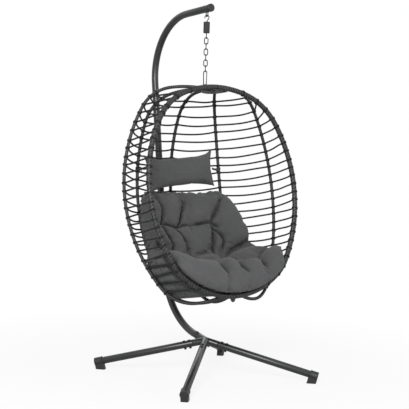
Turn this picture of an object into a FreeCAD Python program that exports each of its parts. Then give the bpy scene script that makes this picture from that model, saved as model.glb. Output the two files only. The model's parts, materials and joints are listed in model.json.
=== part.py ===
import FreeCAD, Part
import os
from math import acos, asin, atan2, ceil, cos, degrees, hypot, pi, radians, sin, sqrt, tan

# Hanging egg chair on a curved pole stand, in millimetres.
# The floor is z = 0, the opening of the basket faces -Y, and +X is to the right of someone who faces it.
# The origin is on the floor, in the middle of the footprint.

V = FreeCAD.Vector
AXIS_X = V(1, 0, 0)
AXIS_Y = V(0, 1, 0)
AXIS_Z = V(0, 0, 1)
LEFT, RIGHT = -1, 1
SIDES = (("left", LEFT), ("right", RIGHT))
UPPER, LOWER = 1, -1
FLAT_ON_FLAT = 0.0          # turns a section so that its flats face up and down

# Stand
tube_radius = 19.0
tube_wall = 2.0
spigot_gap = 0.2            # room between a spigot and the tube that slides over it
spigot_wall = 2.5
hang_y = 6.4                # the hanging axis, behind the middle of the footprint
hub_offset = 78.0           # the hub in front of the hanging axis
hub_z = 190.0
foot_reach = 591.0          # hub axis to the middle of a foot, along the floor
leg_end_height = 38.0       # height of a leg's axis over the middle of its foot
leg_overrun = 8.0           # leg beyond the middle of its foot
stub_length = 70.0          # hub centre to the shoulder where a leg starts
spigot_length = 62.0        # how far a spigot reaches into its leg
pole_stub_length = 58.0
pole_spigot_length = 42.0   # shorter, because the pole soon starts to bend
seam_gap = 0.2              # between a shoulder and the tube pushed against it
first_bolt_offset = 18.0    # shoulder of a leg to its bolts
second_bolt_offset = 46.0
pole_bolt_offset = 24.0
tube_facets = 16
bore_facets = 12
flat_error = 0.5            # how far the flats of a bent tube may lie inside its true arc

# Foot cap
foot_length = 48.0
foot_width = 38.0
foot_wall = 4.0
foot_grip = 40.0            # length of leg inside the cap
foot_corner = 6.0

# Pole, drawn in the plane x = 0
pole_start_rise = 10.4      # degrees above level where it leaves the hub
pole_lean = 81.6            # degrees above level of the long straight
pole_top_rise = 4.0         # degrees that the arm still climbs towards its tip
lower_bend = 380.0
upper_bend = 320.0
pole_back = 451.0           # long straight behind the hanging axis, at pole_back_height
pole_back_height = 1329.0
arm_height = 1946.7         # axis of the arm over the hanging axis
arm_tip = 36.0              # tip of the arm in front of the hanging axis
pole_joint_height = 1058.0
joint_spigot_length = 62.0
joint_weld = 6.0

# Fasteners
bolt_radius = 4.0
bolt_hole_radius = 4.3
bolt_head_radius = 8.0
bolt_head_height = 2.4
nut_radius = 7.4
nut_height = 6.5
bolt_overrun = 1.5          # thread that shows past the nut
fastener_gap = 0.1

# Arm end cap and hanging eye
cap_wall = 2.0
cap_skirt = 14.0
cap_face = 5.0
cap_plug = 16.0
eye_wire = 3.0
eye_bend = 8.0
eye_drop = 41.7             # axis of the arm down to the lowest point of the eye's axis

# Spring, hooks and chain
hook_wire = 2.5
hook_bend = 11.0
hook_open = 210.0           # degrees, where the open end of the hook is
hook_turn_down = -30.0      # degrees, where its ring turns down into its stem
hardware_turn = 35.6        # degrees that the hooks and links are turned about the hanging axis
link_play = 0.3             # room between two pieces of hardware that hang in each other
eye_play = 1.3              # the same at the two eyes, which their hooks cross aslant
sleeve_wall = 2.9
sleeve_length = 59.0
sleeve_drop = 12.5          # lowest point of the upper hook's ring down to the sleeve
sleeve_ribs = 16
sleeve_rib_depth = 1.2
plug_radius = 12.4
plug_gap = 0.5              # round a plug inside the sleeve
plug_thickness = 5.0
plug_inset = 4.0            # sleeve's upper end to the upper plug
lower_plug_inset = 15.0     # keeps the lower plug inside the sleeve when the coil stretches
coil_wire = 2.2
coil_radius = 10.0
coil_turns = 5
coil_steps = 8
coil_seat_gap = 0.2
lower_hook_bend = 8.5
lower_hook_stem = 12.0
lower_hook_turn = 45.0      # degrees, where its stem turns into its ring
lower_hook_open = -225.0
link_count = 6
link_inner_length = 29.5
link_outer_width = 24.0
link_wire = 2.5
bend_steps = 6              # flats in a half turn of bent wire
wire_facets = 6

# Snap hook
snap_wire = 2.5
snap_length = 77.5          # between the ends of its axis
snap_top_bend = 8.6
snap_bottom_bend = 7.4
gate_wire = 2.2
gate_low = 16.0             # gate pivot above the centre of the lower bend
gate_high = 49.0            # gate tip above the centre of the lower bend
gate_gap = 0.5
gate_neck = 2.6             # pivot boss to where the gate's bar starts
pin_radius = 1.0
pin_play = 0.05
gate_boss_radius = 2.9
gate_boss_width = 2.2
cheek_width = 1.3
cheek_radius = 3.0
cheek_gap = 0.15
strap_length = 7.4
strap_half_width = 1.6

# Basket: an egg that leans back, drawn in its own frame (x across, v back, h up the egg's axis)
basket_lean = 11.4
basket_eye_v = 99.5         # where the eye is welded on the centre rib
basket_eye_rise = 31.0      # top of the eye's axis over the axis of the rib
basket_eye_wire = 2.5
basket_eye_bend = 8.5
waist_height = 5.0
rim_radius = 12.5
rib_radius = 8.0
rim_facets = 10
rib_facets = 6
rim_seam = 1.0              # half of the seam between the two halves of the rim
rim_half_width = 465.0
rim_top = 542.0
rim_bottom = -549.0
rim_crown_bend = 593.0
rim_keel_bend = 478.0
rim_upper_shoulder = 333.0
rim_lower_shoulder = 238.0
rim_upper_flank = 730.0
rim_lower_flank = 735.0
rib_crown = 553.0
rib_keel = -570.0
rib_crown_bend = 553.0
rib_keel_bend = 400.0
side_angle = 23.5           # degrees of each rib behind the plane of the rim
back_angle = 56.5
centre_angle = 90.0
side_rib_reach = 526.0      # widest distance of each rib from the egg's axis
back_rib_reach = 499.0
centre_rib_reach = 508.0
side_rib_shoulder = 205.0
back_rib_shoulder = 215.0
centre_rib_shoulder = 225.0
side_rib_flank = 860.0
back_rib_flank = 1100.0
centre_rib_flank = 800.0
side_rib_start = 54.0       # distance of a rib's end from the egg's axis
back_rib_start = 33.0
plate_thickness = 4.0
plate_reach = 82.0
plate_tab = 34.0            # half width of the tab that is bolted to the rim
plate_tab_front = 11.0
plate_to_rim = 2.0          # between the rim and the fan that carries the ribs
weld_gap = 0.05
rim_pin_radius = 8.0
rim_pin_half = 35.0
rim_pin_play = 0.1
rim_bolt_x = 18.0
rim_bolt_radius = 3.0
rim_bolt_play = 0.15
rim_bolt_head_height = 4.0
rim_bolt_head_radius = 5.6

# Weave
strand_radius = 3.3
strand_rows = 24
strand_pitch = 44.0
lowest_row = -505.0
strand_gap = 0.3

# Seat cushion
cushion_half_width = 388.0
cushion_thickness = 116.0
cushion_edge = 44.0         # thickness where its edges start to round over
cushion_rounding = 5.0      # degrees that the rounded edge stands past the last slice rays
cushion_gap = 1.2
cushion_centre_v = 60.0     # point in the egg from which the cushion's slices are measured
cushion_centre_h = -80.0
cushion_front_ray = -111.0
cushion_side_ray = -82.0    # where the outermost slices start, behind the rim
cushion_front_half = 300.0  # half width over which the front rolls over the rim
cushion_back_ray = 15.0
cushion_seat_ray = -66.0    # where the outermost slices end: they belong to the seat only
cushion_back_half = 250.0   # half width over which the back keeps its full height
cushion_shoulder = 2.4      # how square the back's upper corners are
cushion_slices = 20
cushion_rays = 18
roll_reach = 80.0           # how far the front roll stands before the plane of the rim
roll_seat = 58.0            # how far behind that plane it stays over the rim
roll_half = 62.0
roll_side_gap = 16.0        # how far the roll stays off the rim where the rim turns up
back_tuft_x = 128.0
back_tuft_ray = -13.0
wing_tuft_x = 232.0
wing_tuft_ray = -16.0
seat_tuft_x = 72.0
seat_tuft_ray = -64.0
side_tuft_x = 235.0
side_tuft_ray = -60.0
front_tuft_x = 140.0
front_tuft_ray = -97.0
tuft_depth = 36.0
tuft_width = 72.0
tuft_spread = 11.0
crease_depth = 14.0
crease_width = 30.0
crease_x = 130.0
crease_ray = -40.0
crease_spread = 6.0

# Head pillow
pillow_width = 430.0
pillow_height = 196.0
pillow_thickness = 112.0
pillow_h = 161.0
pillow_tilt = 4.0           # leans back
pillow_roll = 5.0           # its right end is the higher one
pillow_gap = 0.3
pillow_pinch = 9.0          # how far its long edges are drawn in halfway
pillow_edge = 16.0          # thickness at its ends
pillow_slices = 12
pillow_sides = 16
tie_row = 15                # the ties pass between this row of strands and the next
tie_width = 12.0
tie_thickness = 2.0
tie_gap = 0.5


def unit(vector):
    return V(vector).normalize()


def ring(centre, direction, radius, sides, offset=0.5):
    """Corners of a regular section, square to a direction."""
    direction = unit(direction)
    across = direction.cross(AXIS_Z if abs(direction.z) < 0.9 else AXIS_X).normalize()
    other = direction.cross(across)
    corners = []
    for i in range(sides):
        angle = 2 * pi * (i + offset) / sides
        corners.append(centre + across * (radius * cos(angle)) + other * (radius * sin(angle)))
    return corners


def outline(points):
    return Part.makePolygon(points + points[:1])


def prism(start, end, radius, sides):
    """A straight bar between two points, with the corners of its section at a radius."""
    return Part.Face(outline(ring(start, end - start, radius, sides))).extrude(end - start)


def core(start, end, radius, sides):
    """A straight bar between two points, with the flats of its section at a radius."""
    return prism(start, end, radius / cos(pi / sides), sides)


def rod(start, end, radius):
    return Part.makeCylinder(radius, (end - start).Length, start, end - start)


def sweep(points, radius, sides, offset=0.5):
    """A bar along straight runs, mitred where they meet, with the corners of its section at a radius."""
    section = outline(ring(points[0], points[1] - points[0], radius, sides, offset))
    mitred = 1
    return Part.makePolygon(points).makePipeShell([section], True, False, mitred)


def closed_solid(faces):
    """One solid from faces that meet edge to edge."""
    skin = Part.makeCompound(faces)
    skin.sewShape()
    solid = Part.Solid(skin.Shells[0])
    if solid.Volume < 0:
        solid.reverse()
    return solid


def skin_rings(rings):
    """A solid through closed rings of points, with triangles between them and a flat face on each end."""
    faces = []
    for this, following in zip(rings, rings[1:]):
        for k in range(len(this)):
            j = (k + 1) % len(this)
            faces.append(Part.Face(outline([this[k], this[j], following[j]])))
            faces.append(Part.Face(outline([this[k], following[j], following[k]])))
    faces.append(Part.Face(outline(rings[0])))
    faces.append(Part.Face(outline(rings[-1])))
    return closed_solid(faces)


def arc_points(centre, radius, first, last, steps, across, up):
    """Points on an arc of a plane, from one angle to another in degrees."""
    points = []
    for i in range(steps + 1):
        angle = radians(first + (last - first) * i / steps)
        points.append(centre + across * (radius * cos(angle)) + up * (radius * sin(angle)))
    return points


def bent_wire(points, normal, radius, closed=False):
    """A bar bent in one plane, with flat faces between its mitred sections."""
    count = len(points)
    rings = []
    for i, point in enumerate(points):
        ahead = points[(i + 1) % count] - point if closed or i < count - 1 else None
        behind = point - points[i - 1] if closed or i > 0 else None
        ahead = unit(ahead or behind)
        behind = unit(behind or ahead)
        tangent = unit(ahead + behind)
        side = tangent.cross(normal)
        stretch = 1.0 / tangent.dot(ahead)
        corners = []
        for k in range(wire_facets):
            angle = 2 * pi * k / wire_facets
            corners.append(point + side * (radius * stretch * cos(angle)) + normal * (radius * sin(angle)))
        rings.append(corners)
    faces = []
    for i in range(count if closed else count - 1):
        this, following = rings[i], rings[(i + 1) % count]
        for k in range(wire_facets):
            j = (k + 1) % wire_facets
            faces.append(Part.Face(outline([this[k], this[j], following[j], following[k]])))
    if not closed:
        faces.append(Part.Face(outline(rings[0])))
        faces.append(Part.Face(outline(rings[-1])))
    return closed_solid(faces)


def export(name, shape):
    if not shape.isValid():
        print("not valid:", name)
    shape.exportStep("parts/" + name + ".step")
    print(name, len(shape.Solids), round(shape.Volume / 1000.0, 2), "cm3")


def flats(radius, turn):
    """How many flats stand for an arc of a bent tube."""
    return ceil(radius * turn / sqrt(8 * radius * flat_error))


# Stand

hub = V(0, hang_y - hub_offset, hub_z)
LEGS = (("front_left", 225), ("front_right", 315), ("rear_left", 135), ("rear_right", 45))
leg_drop = hub_z - leg_end_height
LEG_BOLTS = (first_bolt_offset, second_bolt_offset)
bore_radius = tube_radius - tube_wall
spigot_radius = bore_radius - spigot_gap
leg_tip = hypot(foot_reach, leg_drop) + leg_overrun


def leg_direction(heading):
    return unit(V(foot_reach * cos(radians(heading)), foot_reach * sin(radians(heading)), -leg_drop))


def leg_normal(heading):
    """Square to the leg, pointing up in its own upright plane."""
    direction = leg_direction(heading)
    return unit(AXIS_Z - direction * direction.z)


pole_direction = V(0, cos(radians(pole_start_rise)), sin(radians(pole_start_rise)))
pole_normal = V(0, -sin(radians(pole_start_rise)), cos(radians(pole_start_rise)))
leg_start = stub_length + seam_gap
pole_start = hub + pole_direction * (pole_stub_length + seam_gap)


def across_hole(axis_point, normal):
    reach = normal * (tube_radius * 1.3)
    return core(axis_point - reach, axis_point + reach, bolt_hole_radius, 6)


def make_hub():
    """Five short tubes welded at one point, each with a thinner spigot that its leg or the pole slides over."""
    arms = []
    for _, heading in LEGS:
        direction, normal = leg_direction(heading), leg_normal(heading)
        places = [hub + direction * (leg_start + offset) for offset in LEG_BOLTS]
        arms.append((direction, normal, stub_length, spigot_length, places))
    place = pole_start + pole_direction * pole_bolt_offset
    arms.append((pole_direction, pole_normal, pole_stub_length, pole_spigot_length, [place]))
    outside, inside = [], []
    for direction, normal, stub, spigot, places in arms:
        shoulder = hub + direction * stub
        tip = shoulder + direction * spigot
        outside.append(prism(hub, shoulder, tube_radius, tube_facets))
        outside.append(core(shoulder - direction, tip, spigot_radius, bore_facets))
        inside.append(core(shoulder, tip, spigot_radius - spigot_wall, bore_facets))
        inside += [across_hole(point, normal) for point in places]
    body = outside[0].fuse(outside[1:])
    return body.cut(inside).removeSplitter()


def make_leg(heading):
    direction = leg_direction(heading)
    start = hub + direction * leg_start
    end = hub + direction * leg_tip
    tube = prism(start, end, tube_radius, tube_facets).cut(core(start, end, bore_radius, bore_facets))
    for offset in LEG_BOLTS:
        tube = tube.cut(across_hole(start + direction * offset, leg_normal(heading)))
    return tube


def make_foot(heading):
    """A moulded cap: a sleeve round the end of the leg over a block that stands on the floor."""
    direction = leg_direction(heading)
    normal = leg_normal(heading)
    side = normal.cross(direction)
    tip = hub + direction * leg_tip
    face = tip + direction * foot_wall
    sleeve = prism(tip - direction * foot_grip, face, tube_radius + foot_wall, tube_facets)
    corner = face - side * (foot_width / 2.0)
    profile = [corner, corner + side * foot_width]
    profile += [profile[1] - direction * foot_length, profile[0] - direction * foot_length]
    block = Part.Face(outline(profile)).extrude(normal * -(leg_end_height + tube_radius))
    upright = [edge for edge in block.Edges if abs(unit(edge.tangentAt(0)).dot(normal)) > 0.99]
    block = block.makeChamfer(foot_corner, upright)
    below = Part.makeBox(4 * foot_reach, 4 * foot_reach, 100, V(-2 * foot_reach, -2 * foot_reach, -100))
    socket = prism(tip - direction * 2 * foot_length, tip + direction * fastener_gap,
                   tube_radius + fastener_gap, tube_facets)
    return sleeve.fuse(block).cut([below, socket]).removeSplitter()


def through_bolt(place, normal):
    """A domed bolt down through a tube, and the nut under it."""
    reach = tube_radius + fastener_gap
    seat = place + normal * reach
    nut_seat = place - normal * reach
    nut_end = nut_seat - normal * nut_height
    head = prism(seat, seat + normal * bolt_head_height, bolt_head_radius, 8)
    shank = prism(seat, nut_end - normal * bolt_overrun, bolt_radius, 8)
    nut = prism(nut_seat, nut_end, nut_radius, 6).cut(core(nut_seat, nut_end, bolt_radius + fastener_gap, 8))
    return head.fuse(shank).removeSplitter(), nut


def make_leg_fasteners():
    bolts, nuts = [], []
    for _, heading in LEGS:
        for offset in LEG_BOLTS:
            place = hub + leg_direction(heading) * (leg_start + offset)
            bolt, nut = through_bolt(place, leg_normal(heading))
            bolts.append(bolt)
            nuts.append(nut)
    return Part.makeCompound(bolts), Part.makeCompound(nuts)


def line_meeting(point, angle, other, other_angle):
    """Where two lines of the plane x = 0 meet, each given by a point and its angle above level."""
    slope, other_slope = tan(radians(angle)), tan(radians(other_angle))
    y = (point.z - other.z + other_slope * other.y - slope * point.y) / (other_slope - slope)
    return V(0, y, point.z + slope * (y - point.y))


straight_point = V(0, hang_y + pole_back, pole_back_height)
arm_point = V(0, hang_y, arm_height)
low_corner = line_meeting(hub, pole_start_rise, straight_point, pole_lean)
high_corner = line_meeting(arm_point, -pole_top_rise, straight_point, pole_lean)
pole_tip = arm_point + unit(arm_point - high_corner) * (arm_tip / cos(radians(pole_top_rise)))
straight_direction = unit(high_corner - low_corner)
pole_joint = low_corner + straight_direction * ((pole_joint_height - low_corner.z) / straight_direction.z)


def rounded(before, corner, after, radius):
    """Points of the arc that rounds a corner between two straight runs."""
    a, b = unit(before - corner), unit(after - corner)
    half = acos(a.dot(b)) / 2.0
    turn = pi - 2 * half
    centre = corner + unit(a + b) * (radius / sin(half))
    first = unit(corner + a * (radius / tan(half)) - centre)
    last = unit(corner + b * (radius / tan(half)) - centre)
    points = []
    steps = flats(radius, turn)
    for i in range(steps + 1):
        share = turn * i / steps
        points.append(centre + (first * sin(turn - share) + last * sin(share)) * (radius / sin(turn)))
    return points


def bent_tube(points):
    return sweep(points, tube_radius, tube_facets).cut(
        sweep(points, bore_radius / cos(pi / bore_facets), bore_facets))


def make_lower_pole():
    """The lower half of the pole, with a spigot welded in its top that the upper half slides over."""
    tube = bent_tube([pole_start] + rounded(hub, low_corner, pole_joint, lower_bend) + [pole_joint])
    tube = tube.cut(across_hole(pole_start + pole_direction * pole_bolt_offset, pole_normal))
    root = pole_joint - straight_direction * joint_spigot_length
    tip = pole_joint + straight_direction * joint_spigot_length
    spigot = core(root, tip, spigot_radius, bore_facets)
    weld = core(root, root + straight_direction * joint_weld, bore_radius, bore_facets)
    inside = core(root, tip, spigot_radius - spigot_wall, bore_facets)
    return tube.fuse([spigot, weld]).cut(inside).removeSplitter()


def make_upper_pole():
    start = pole_joint + straight_direction * seam_gap
    return bent_tube([start] + rounded(pole_joint, high_corner, pole_tip, upper_bend) + [pole_tip])


def make_arm_cap():
    """A moulded cap over the tip of the arm, with a plug that fits its bore."""
    out = unit(pole_tip - high_corner)
    root = pole_tip - out * cap_skirt
    face = pole_tip + out * fastener_gap
    cup = prism(root, face + out * cap_face, tube_radius + cap_wall, tube_facets)
    cup = cup.cut(prism(root, face, tube_radius + fastener_gap, tube_facets))
    plug = core(face - out * cap_plug, face, bore_radius - spigot_gap, bore_facets)
    return cup.fuse(plug).removeSplitter()


def make_hanging_eye():
    """A loop of bar welded under the arm, in the plane of the pole."""
    centre = arm_point + AXIS_Z * (eye_bend - eye_drop)
    points = [arm_point - AXIS_Y * eye_bend]
    points += arc_points(centre, eye_bend, 180, 360, bend_steps, AXIS_Y, AXIS_Z)
    points += [arm_point + AXIS_Y * eye_bend]
    arm = prism(pole_tip, high_corner, tube_radius, tube_facets)
    return bent_wire(points, AXIS_X, eye_wire).cut(arm)


# Spring, chain and snap hook, which all hang on one upright line

TURN = FreeCAD.Rotation(AXIS_Z, -hardware_turn)
FACE = TURN.multVec(AXIS_X)        # across a piece that is seen face on
EDGE = TURN.multVec(AXIS_Y)        # across a piece that is turned a quarter from that


def hang_point(height):
    return V(0, hang_y, height)


eye_bottom = arm_height - eye_drop
upper_hook_top = eye_bottom + eye_wire + eye_play + hook_wire
upper_hook_centre = upper_hook_top - hook_bend
sleeve_top = upper_hook_centre - hook_bend - sleeve_drop
sleeve_bottom = sleeve_top - sleeve_length
upper_plug = sleeve_top - plug_inset
lower_plug = sleeve_bottom + lower_plug_inset
lower_hook_bottom = sleeve_bottom - lower_hook_stem - 2 * lower_hook_bend


def make_plug(low):
    return prism(hang_point(low), hang_point(low + plug_thickness), plug_radius, 12)


def make_upper_hook():
    centre = hang_point(upper_hook_centre)
    points = arc_points(centre, hook_bend, hook_open, hook_turn_down, 2 * bend_steps, FACE, AXIS_Z)
    points += [hang_point(sleeve_top), hang_point(upper_plug - plug_thickness / 2.0)]
    return bent_wire(points, EDGE, hook_wire).fuse(make_plug(upper_plug - plug_thickness))


def make_lower_hook():
    centre = hang_point(lower_hook_bottom + lower_hook_bend)
    points = [hang_point(lower_plug + plug_thickness / 2.0), hang_point(sleeve_bottom - lower_hook_stem / 2.0)]
    points += arc_points(centre, lower_hook_bend, lower_hook_turn, lower_hook_open, 2 * bend_steps, EDGE, AXIS_Z)
    return bent_wire(points, FACE, hook_wire).fuse(make_plug(lower_plug))


def make_sleeve():
    """A ribbed rubber sleeve round the coil, open at both ends."""
    bore = plug_radius + plug_gap
    corners = []
    for i in range(2 * sleeve_ribs):
        angle = pi * i / sleeve_ribs
        radius = bore + sleeve_wall + (0.0 if i % 2 else sleeve_rib_depth)
        corners.append(V(radius * cos(angle), hang_y + radius * sin(angle), sleeve_bottom))
    body = Part.Face(outline(corners)).extrude(AXIS_Z * sleeve_length)
    return body.cut(core(hang_point(sleeve_bottom), hang_point(sleeve_top), bore, 12))


def make_coil():
    """A close coil between the two plugs, one unbroken bar of flat-sided wire."""
    top = upper_plug - plug_thickness - coil_seat_gap - coil_wire
    bottom = lower_plug + plug_thickness + coil_seat_gap + coil_wire
    pitch = (top - bottom) / coil_turns
    print("coil: least gap between turns", round(pitch - 2 * coil_wire, 2), "mm")
    rings = []
    for i in range(coil_turns * coil_steps + 1):
        angle = 2 * pi * i / coil_steps
        outward = V(cos(angle), sin(angle), 0)
        middle = hang_point(bottom + pitch * i / coil_steps) + outward * coil_radius
        corners = []
        for k in range(4):
            turn = pi / 2 * (k + 0.5)
            corners.append(middle + outward * (coil_wire * cos(turn)) + AXIS_Z * (coil_wire * sin(turn)))
        rings.append(corners)
    return skin_rings(rings)


link_pitch = link_inner_length - link_play
first_link = lower_hook_bottom + hook_wire + link_play - link_inner_length / 2.0


def make_link(index):
    """One oval link; each is turned a quarter from the one above it."""
    across, normal = (FACE, EDGE) if index % 2 == 0 else (EDGE, FACE)
    middle = hang_point(first_link - index * link_pitch)
    bend = link_outer_width / 2.0 - link_wire
    straight = link_inner_length / 2.0 + link_wire - bend
    points = arc_points(middle + AXIS_Z * straight, bend, 0, 180, bend_steps, across, AXIS_Z)
    points += arc_points(middle - AXIS_Z * straight, bend, 180, 360, bend_steps, across, AXIS_Z)
    return bent_wire(points, normal, link_wire, closed=True)


last_link_bottom = first_link - (link_count - 1) * link_pitch - link_inner_length / 2.0
snap_top = last_link_bottom + link_play + snap_wire
snap_bottom = snap_top - snap_length
snap_top_centre = snap_top - snap_top_bend
snap_bottom_centre = snap_bottom + snap_bottom_bend
snap_lean = asin((snap_top_bend - snap_bottom_bend) / (snap_top_centre - snap_bottom_centre))


def snap_side(height):
    """A point on the axis of the side that the gate closes, at a height over the lower bend's centre."""
    start = hang_point(snap_bottom_centre) + FACE * (snap_bottom_bend * cos(snap_lean))
    start -= AXIS_Z * (snap_bottom_bend * sin(snap_lean))
    return start + (FACE * sin(snap_lean) + AXIS_Z * cos(snap_lean)) * height


gate_pivot = snap_side(gate_low)
gate_tip = snap_side(gate_high)
gate_along = unit(gate_tip - gate_pivot)
gate_across = gate_along.cross(EDGE)
hook_end = gate_low - gate_boss_radius - gate_gap


def flat_strip(start, end, half_width, thickness):
    """A strip that lies flat beside the gate, thickened along EDGE."""
    width = gate_across * half_width
    corners = [start - width, start + width, end + width, end - width]
    return Part.Face(outline(corners)).extrude(thickness)


def pivot_bore():
    reach = EDGE * (2 * (gate_boss_width + cheek_width))
    return core(gate_pivot - reach, gate_pivot + reach, pin_radius + pin_play, 8)


def make_snap_hook():
    """A pear-shaped hook, open on one side where the gate closes it, with two cheeks for the gate's pin."""
    lean = degrees(snap_lean)
    points = [snap_side(gate_high + gate_gap)]
    points += arc_points(hang_point(snap_top_centre), snap_top_bend, -lean, 180 + lean, bend_steps + 2, FACE, AXIS_Z)
    points += arc_points(hang_point(snap_bottom_centre), snap_bottom_bend, 180 + lean, 360 - lean,
                         bend_steps, FACE, AXIS_Z)
    points += [snap_side(hook_end)]
    hook = bent_wire(points, EDGE, snap_wire)
    for side in (LEFT, RIGHT):
        inner = EDGE * (side * (gate_boss_width / 2.0 + cheek_gap))
        through = EDGE * (side * cheek_width)
        cheek = prism(gate_pivot + inner, gate_pivot + inner + through, cheek_radius, 8)
        foot = gate_pivot - gate_along * strap_length
        strap = flat_strip(foot + inner, gate_pivot + inner, strap_half_width, through)
        hook = hook.fuse([cheek, strap])
    return hook.cut(pivot_bore()).removeSplitter()


def make_gate():
    half = EDGE * (gate_boss_width / 2.0)
    boss = prism(gate_pivot - half, gate_pivot + half, gate_boss_radius, 8)
    bar_start = gate_pivot + gate_along * (cheek_radius + gate_gap)
    bar = prism(bar_start, gate_tip, gate_wire, 8)
    neck = flat_strip(gate_pivot - half, bar_start + gate_along * gate_neck - half, strap_half_width, half * 2)
    return boss.fuse([neck, bar]).cut(pivot_bore()).removeSplitter()


def make_gate_pin():
    half = EDGE * (gate_boss_width / 2.0 + cheek_gap + cheek_width)
    return prism(gate_pivot - half, gate_pivot + half, pin_radius, 8)


# Basket profiles


class Quarter:
    """Three tangent arcs from an apex of the egg to its widest point, drawn as (distance, height)."""

    def __init__(self, apex, height, crown, shoulder, flank, reach, end):
        self.end = end
        top = (apex, end * height - crown)
        side = (reach - flank, end * waist_height)
        dx, dh = side[0] - top[0], side[1] - top[1]
        span = hypot(dx, dh)
        near, far = crown - shoulder, flank - shoulder
        along = (near * near - far * far + span * span) / (2 * span)
        off = sqrt(near * near - along * along)
        turn = 1 if dx < 0 else -1
        middle = (top[0] + (dx * along + turn * dh * off) / span, top[1] + (dh * along - turn * dx * off) / span)
        upper = atan2(middle[1] - top[1], middle[0] - top[0])
        lower = atan2(middle[1] - side[1], middle[0] - side[0])
        self.arcs = ((top, crown, pi / 2, upper), (middle, shoulder, upper, lower), (side, flank, lower, 0.0))

    def points(self, heading, start):
        """Points along the arcs in the upright plane with this heading, from the apex side outwards."""
        across = V(cos(heading), sin(heading), 0)
        spots = []
        for centre, radius, first, last in self.arcs:
            if not spots:
                first = acos((start - centre[0]) / radius)
            steps = flats(radius, abs(last - first))
            for i in range(steps + 1):
                angle = first + (last - first) * i / steps
                spot = across * (centre[0] + radius * cos(angle))
                spot += AXIS_Z * (self.end * (centre[1] + radius * sin(angle)))
                if not spots or (spot - spots[-1]).Length > 0.01:
                    spots.append(spot)
        return spots

    def arc_at_height(self, height):
        """The arc that passes a height on the outer side, and the rise over the arc's centre."""
        for centre, radius, first, last in reversed(self.arcs):
            rise = self.end * height - centre[1]
            if rise <= radius * sin(first):
                break
        return centre, radius, min(rise, radius)

    def distance_at(self, height):
        """Distance of the outer stretch from the egg's axis."""
        centre, radius, rise = self.arc_at_height(height)
        return centre[0] + sqrt(radius * radius - rise * rise)

    def slope_at(self, height):
        """Angle of the path over level on its outer stretch."""
        _, radius, rise = self.arc_at_height(height)
        return pi / 2 - asin(max(-1.0, rise / radius))

    def height_at(self, distance):
        for centre, radius, first, last in self.arcs:
            if distance <= centre[0] + radius * cos(last):
                break
        run = min(distance - centre[0], radius)
        return self.end * (centre[1] + sqrt(radius * radius - run * run))


class Hoop:
    """One half of the rim, or a rib: an upper and a lower quarter in an upright plane of the egg."""

    def __init__(self, angle, radius, start, upper, lower):
        self.angle, self.radius, self.start = angle, radius, start
        self.upper, self.lower = upper, lower

    def heading(self, side):
        return radians(self.angle) if side == RIGHT else radians(180.0 - self.angle)

    def solid(self, side, sides, offset):
        heading = self.heading(side)
        above = self.upper.points(heading, self.start)
        below = self.lower.points(heading, self.start)
        return sweep(above[:-1] + below[::-1], self.radius, sides, offset)

    def quarter(self, height):
        return self.upper if height > waist_height else self.lower

    def point(self, side, height):
        distance = self.quarter(height).distance_at(height)
        heading = self.heading(side)
        return V(distance * cos(heading), distance * sin(heading), height)

    def tangent(self, side, height):
        slope = self.quarter(height).slope_at(height)
        heading = self.heading(side)
        lean = -cos(slope) if height > waist_height else cos(slope)
        return V(lean * cos(heading), lean * sin(heading), sin(slope))


RIM_ENDS = {UPPER: (rim_top, rim_crown_bend), LOWER: (rim_bottom, rim_keel_bend)}


def rim_sag(end, run):
    """How far the rim has curved away from its apex at a distance from the middle."""
    bend = RIM_ENDS[end][1]
    return bend - sqrt(bend * bend - run * run)


def plate_face(end):
    """Height of the face of a joining plate that lies against the rim and the ribs."""
    return RIM_ENDS[end][0] - end * (rim_radius + rim_sag(end, plate_tab) + flat_error + weld_gap)


def rib_foot(end):
    """Height of a rib's axis where its end lies on the joining plate."""
    return plate_face(end) + end * (weld_gap + rib_radius * cos(pi / rib_facets))


def rib(angle, start, reach, shoulder, flank):
    """A rib that climbs from its end on the joining plate to the crown, and the same below."""
    rise = rib_crown - rib_foot(UPPER)
    drop = rib_foot(LOWER) - rib_keel
    top_apex = start + sqrt(rise * (2 * rib_crown_bend - rise))
    low_apex = start + sqrt(drop * (2 * rib_keel_bend - drop))
    upper = Quarter(top_apex, rib_crown, rib_crown_bend, shoulder, flank, reach, UPPER)
    lower = Quarter(low_apex, rib_keel, rib_keel_bend, shoulder, flank, reach, LOWER)
    return Hoop(angle, rib_radius, start, upper, lower)


rim = Hoop(0.0, rim_radius, rim_seam,
           Quarter(0.0, rim_top, rim_crown_bend, rim_upper_shoulder, rim_upper_flank, rim_half_width, UPPER),
           Quarter(0.0, rim_bottom, rim_keel_bend, rim_lower_shoulder, rim_lower_flank, rim_half_width, LOWER))
side_rib = rib(side_angle, side_rib_start, side_rib_reach, side_rib_shoulder, side_rib_flank)
back_rib = rib(back_angle, back_rib_start, back_rib_reach, back_rib_shoulder, back_rib_flank)
centre_rib = rib(centre_angle, back_rib_start, centre_rib_reach, centre_rib_shoulder, centre_rib_flank)


# Basket pieces, drawn in the egg's frame and hung by the eye

eye_top = snap_bottom + snap_wire + eye_play + basket_eye_wire
lean_rotation = FreeCAD.Rotation(AXIS_X, -basket_lean)
eye_in_egg = V(0, basket_eye_v, centre_rib.upper.height_at(basket_eye_v) + basket_eye_rise)
basket_centre = hang_point(eye_top) - lean_rotation.multVec(eye_in_egg)


def in_basket(shape):
    """Moves a shape from the egg's own frame to its place in the chair."""
    placed = shape.copy()
    placed.rotate(V(0, 0, 0), AXIS_X, -basket_lean)
    placed.translate(basket_centre)
    return placed


def rim_pin_height(end):
    """Height of the straight pin that joins the two halves of the rim, fitted to the middle of their curve."""
    return RIM_ENDS[end][0] - end * rim_sag(end, rim_pin_half / 2.0)


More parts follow.
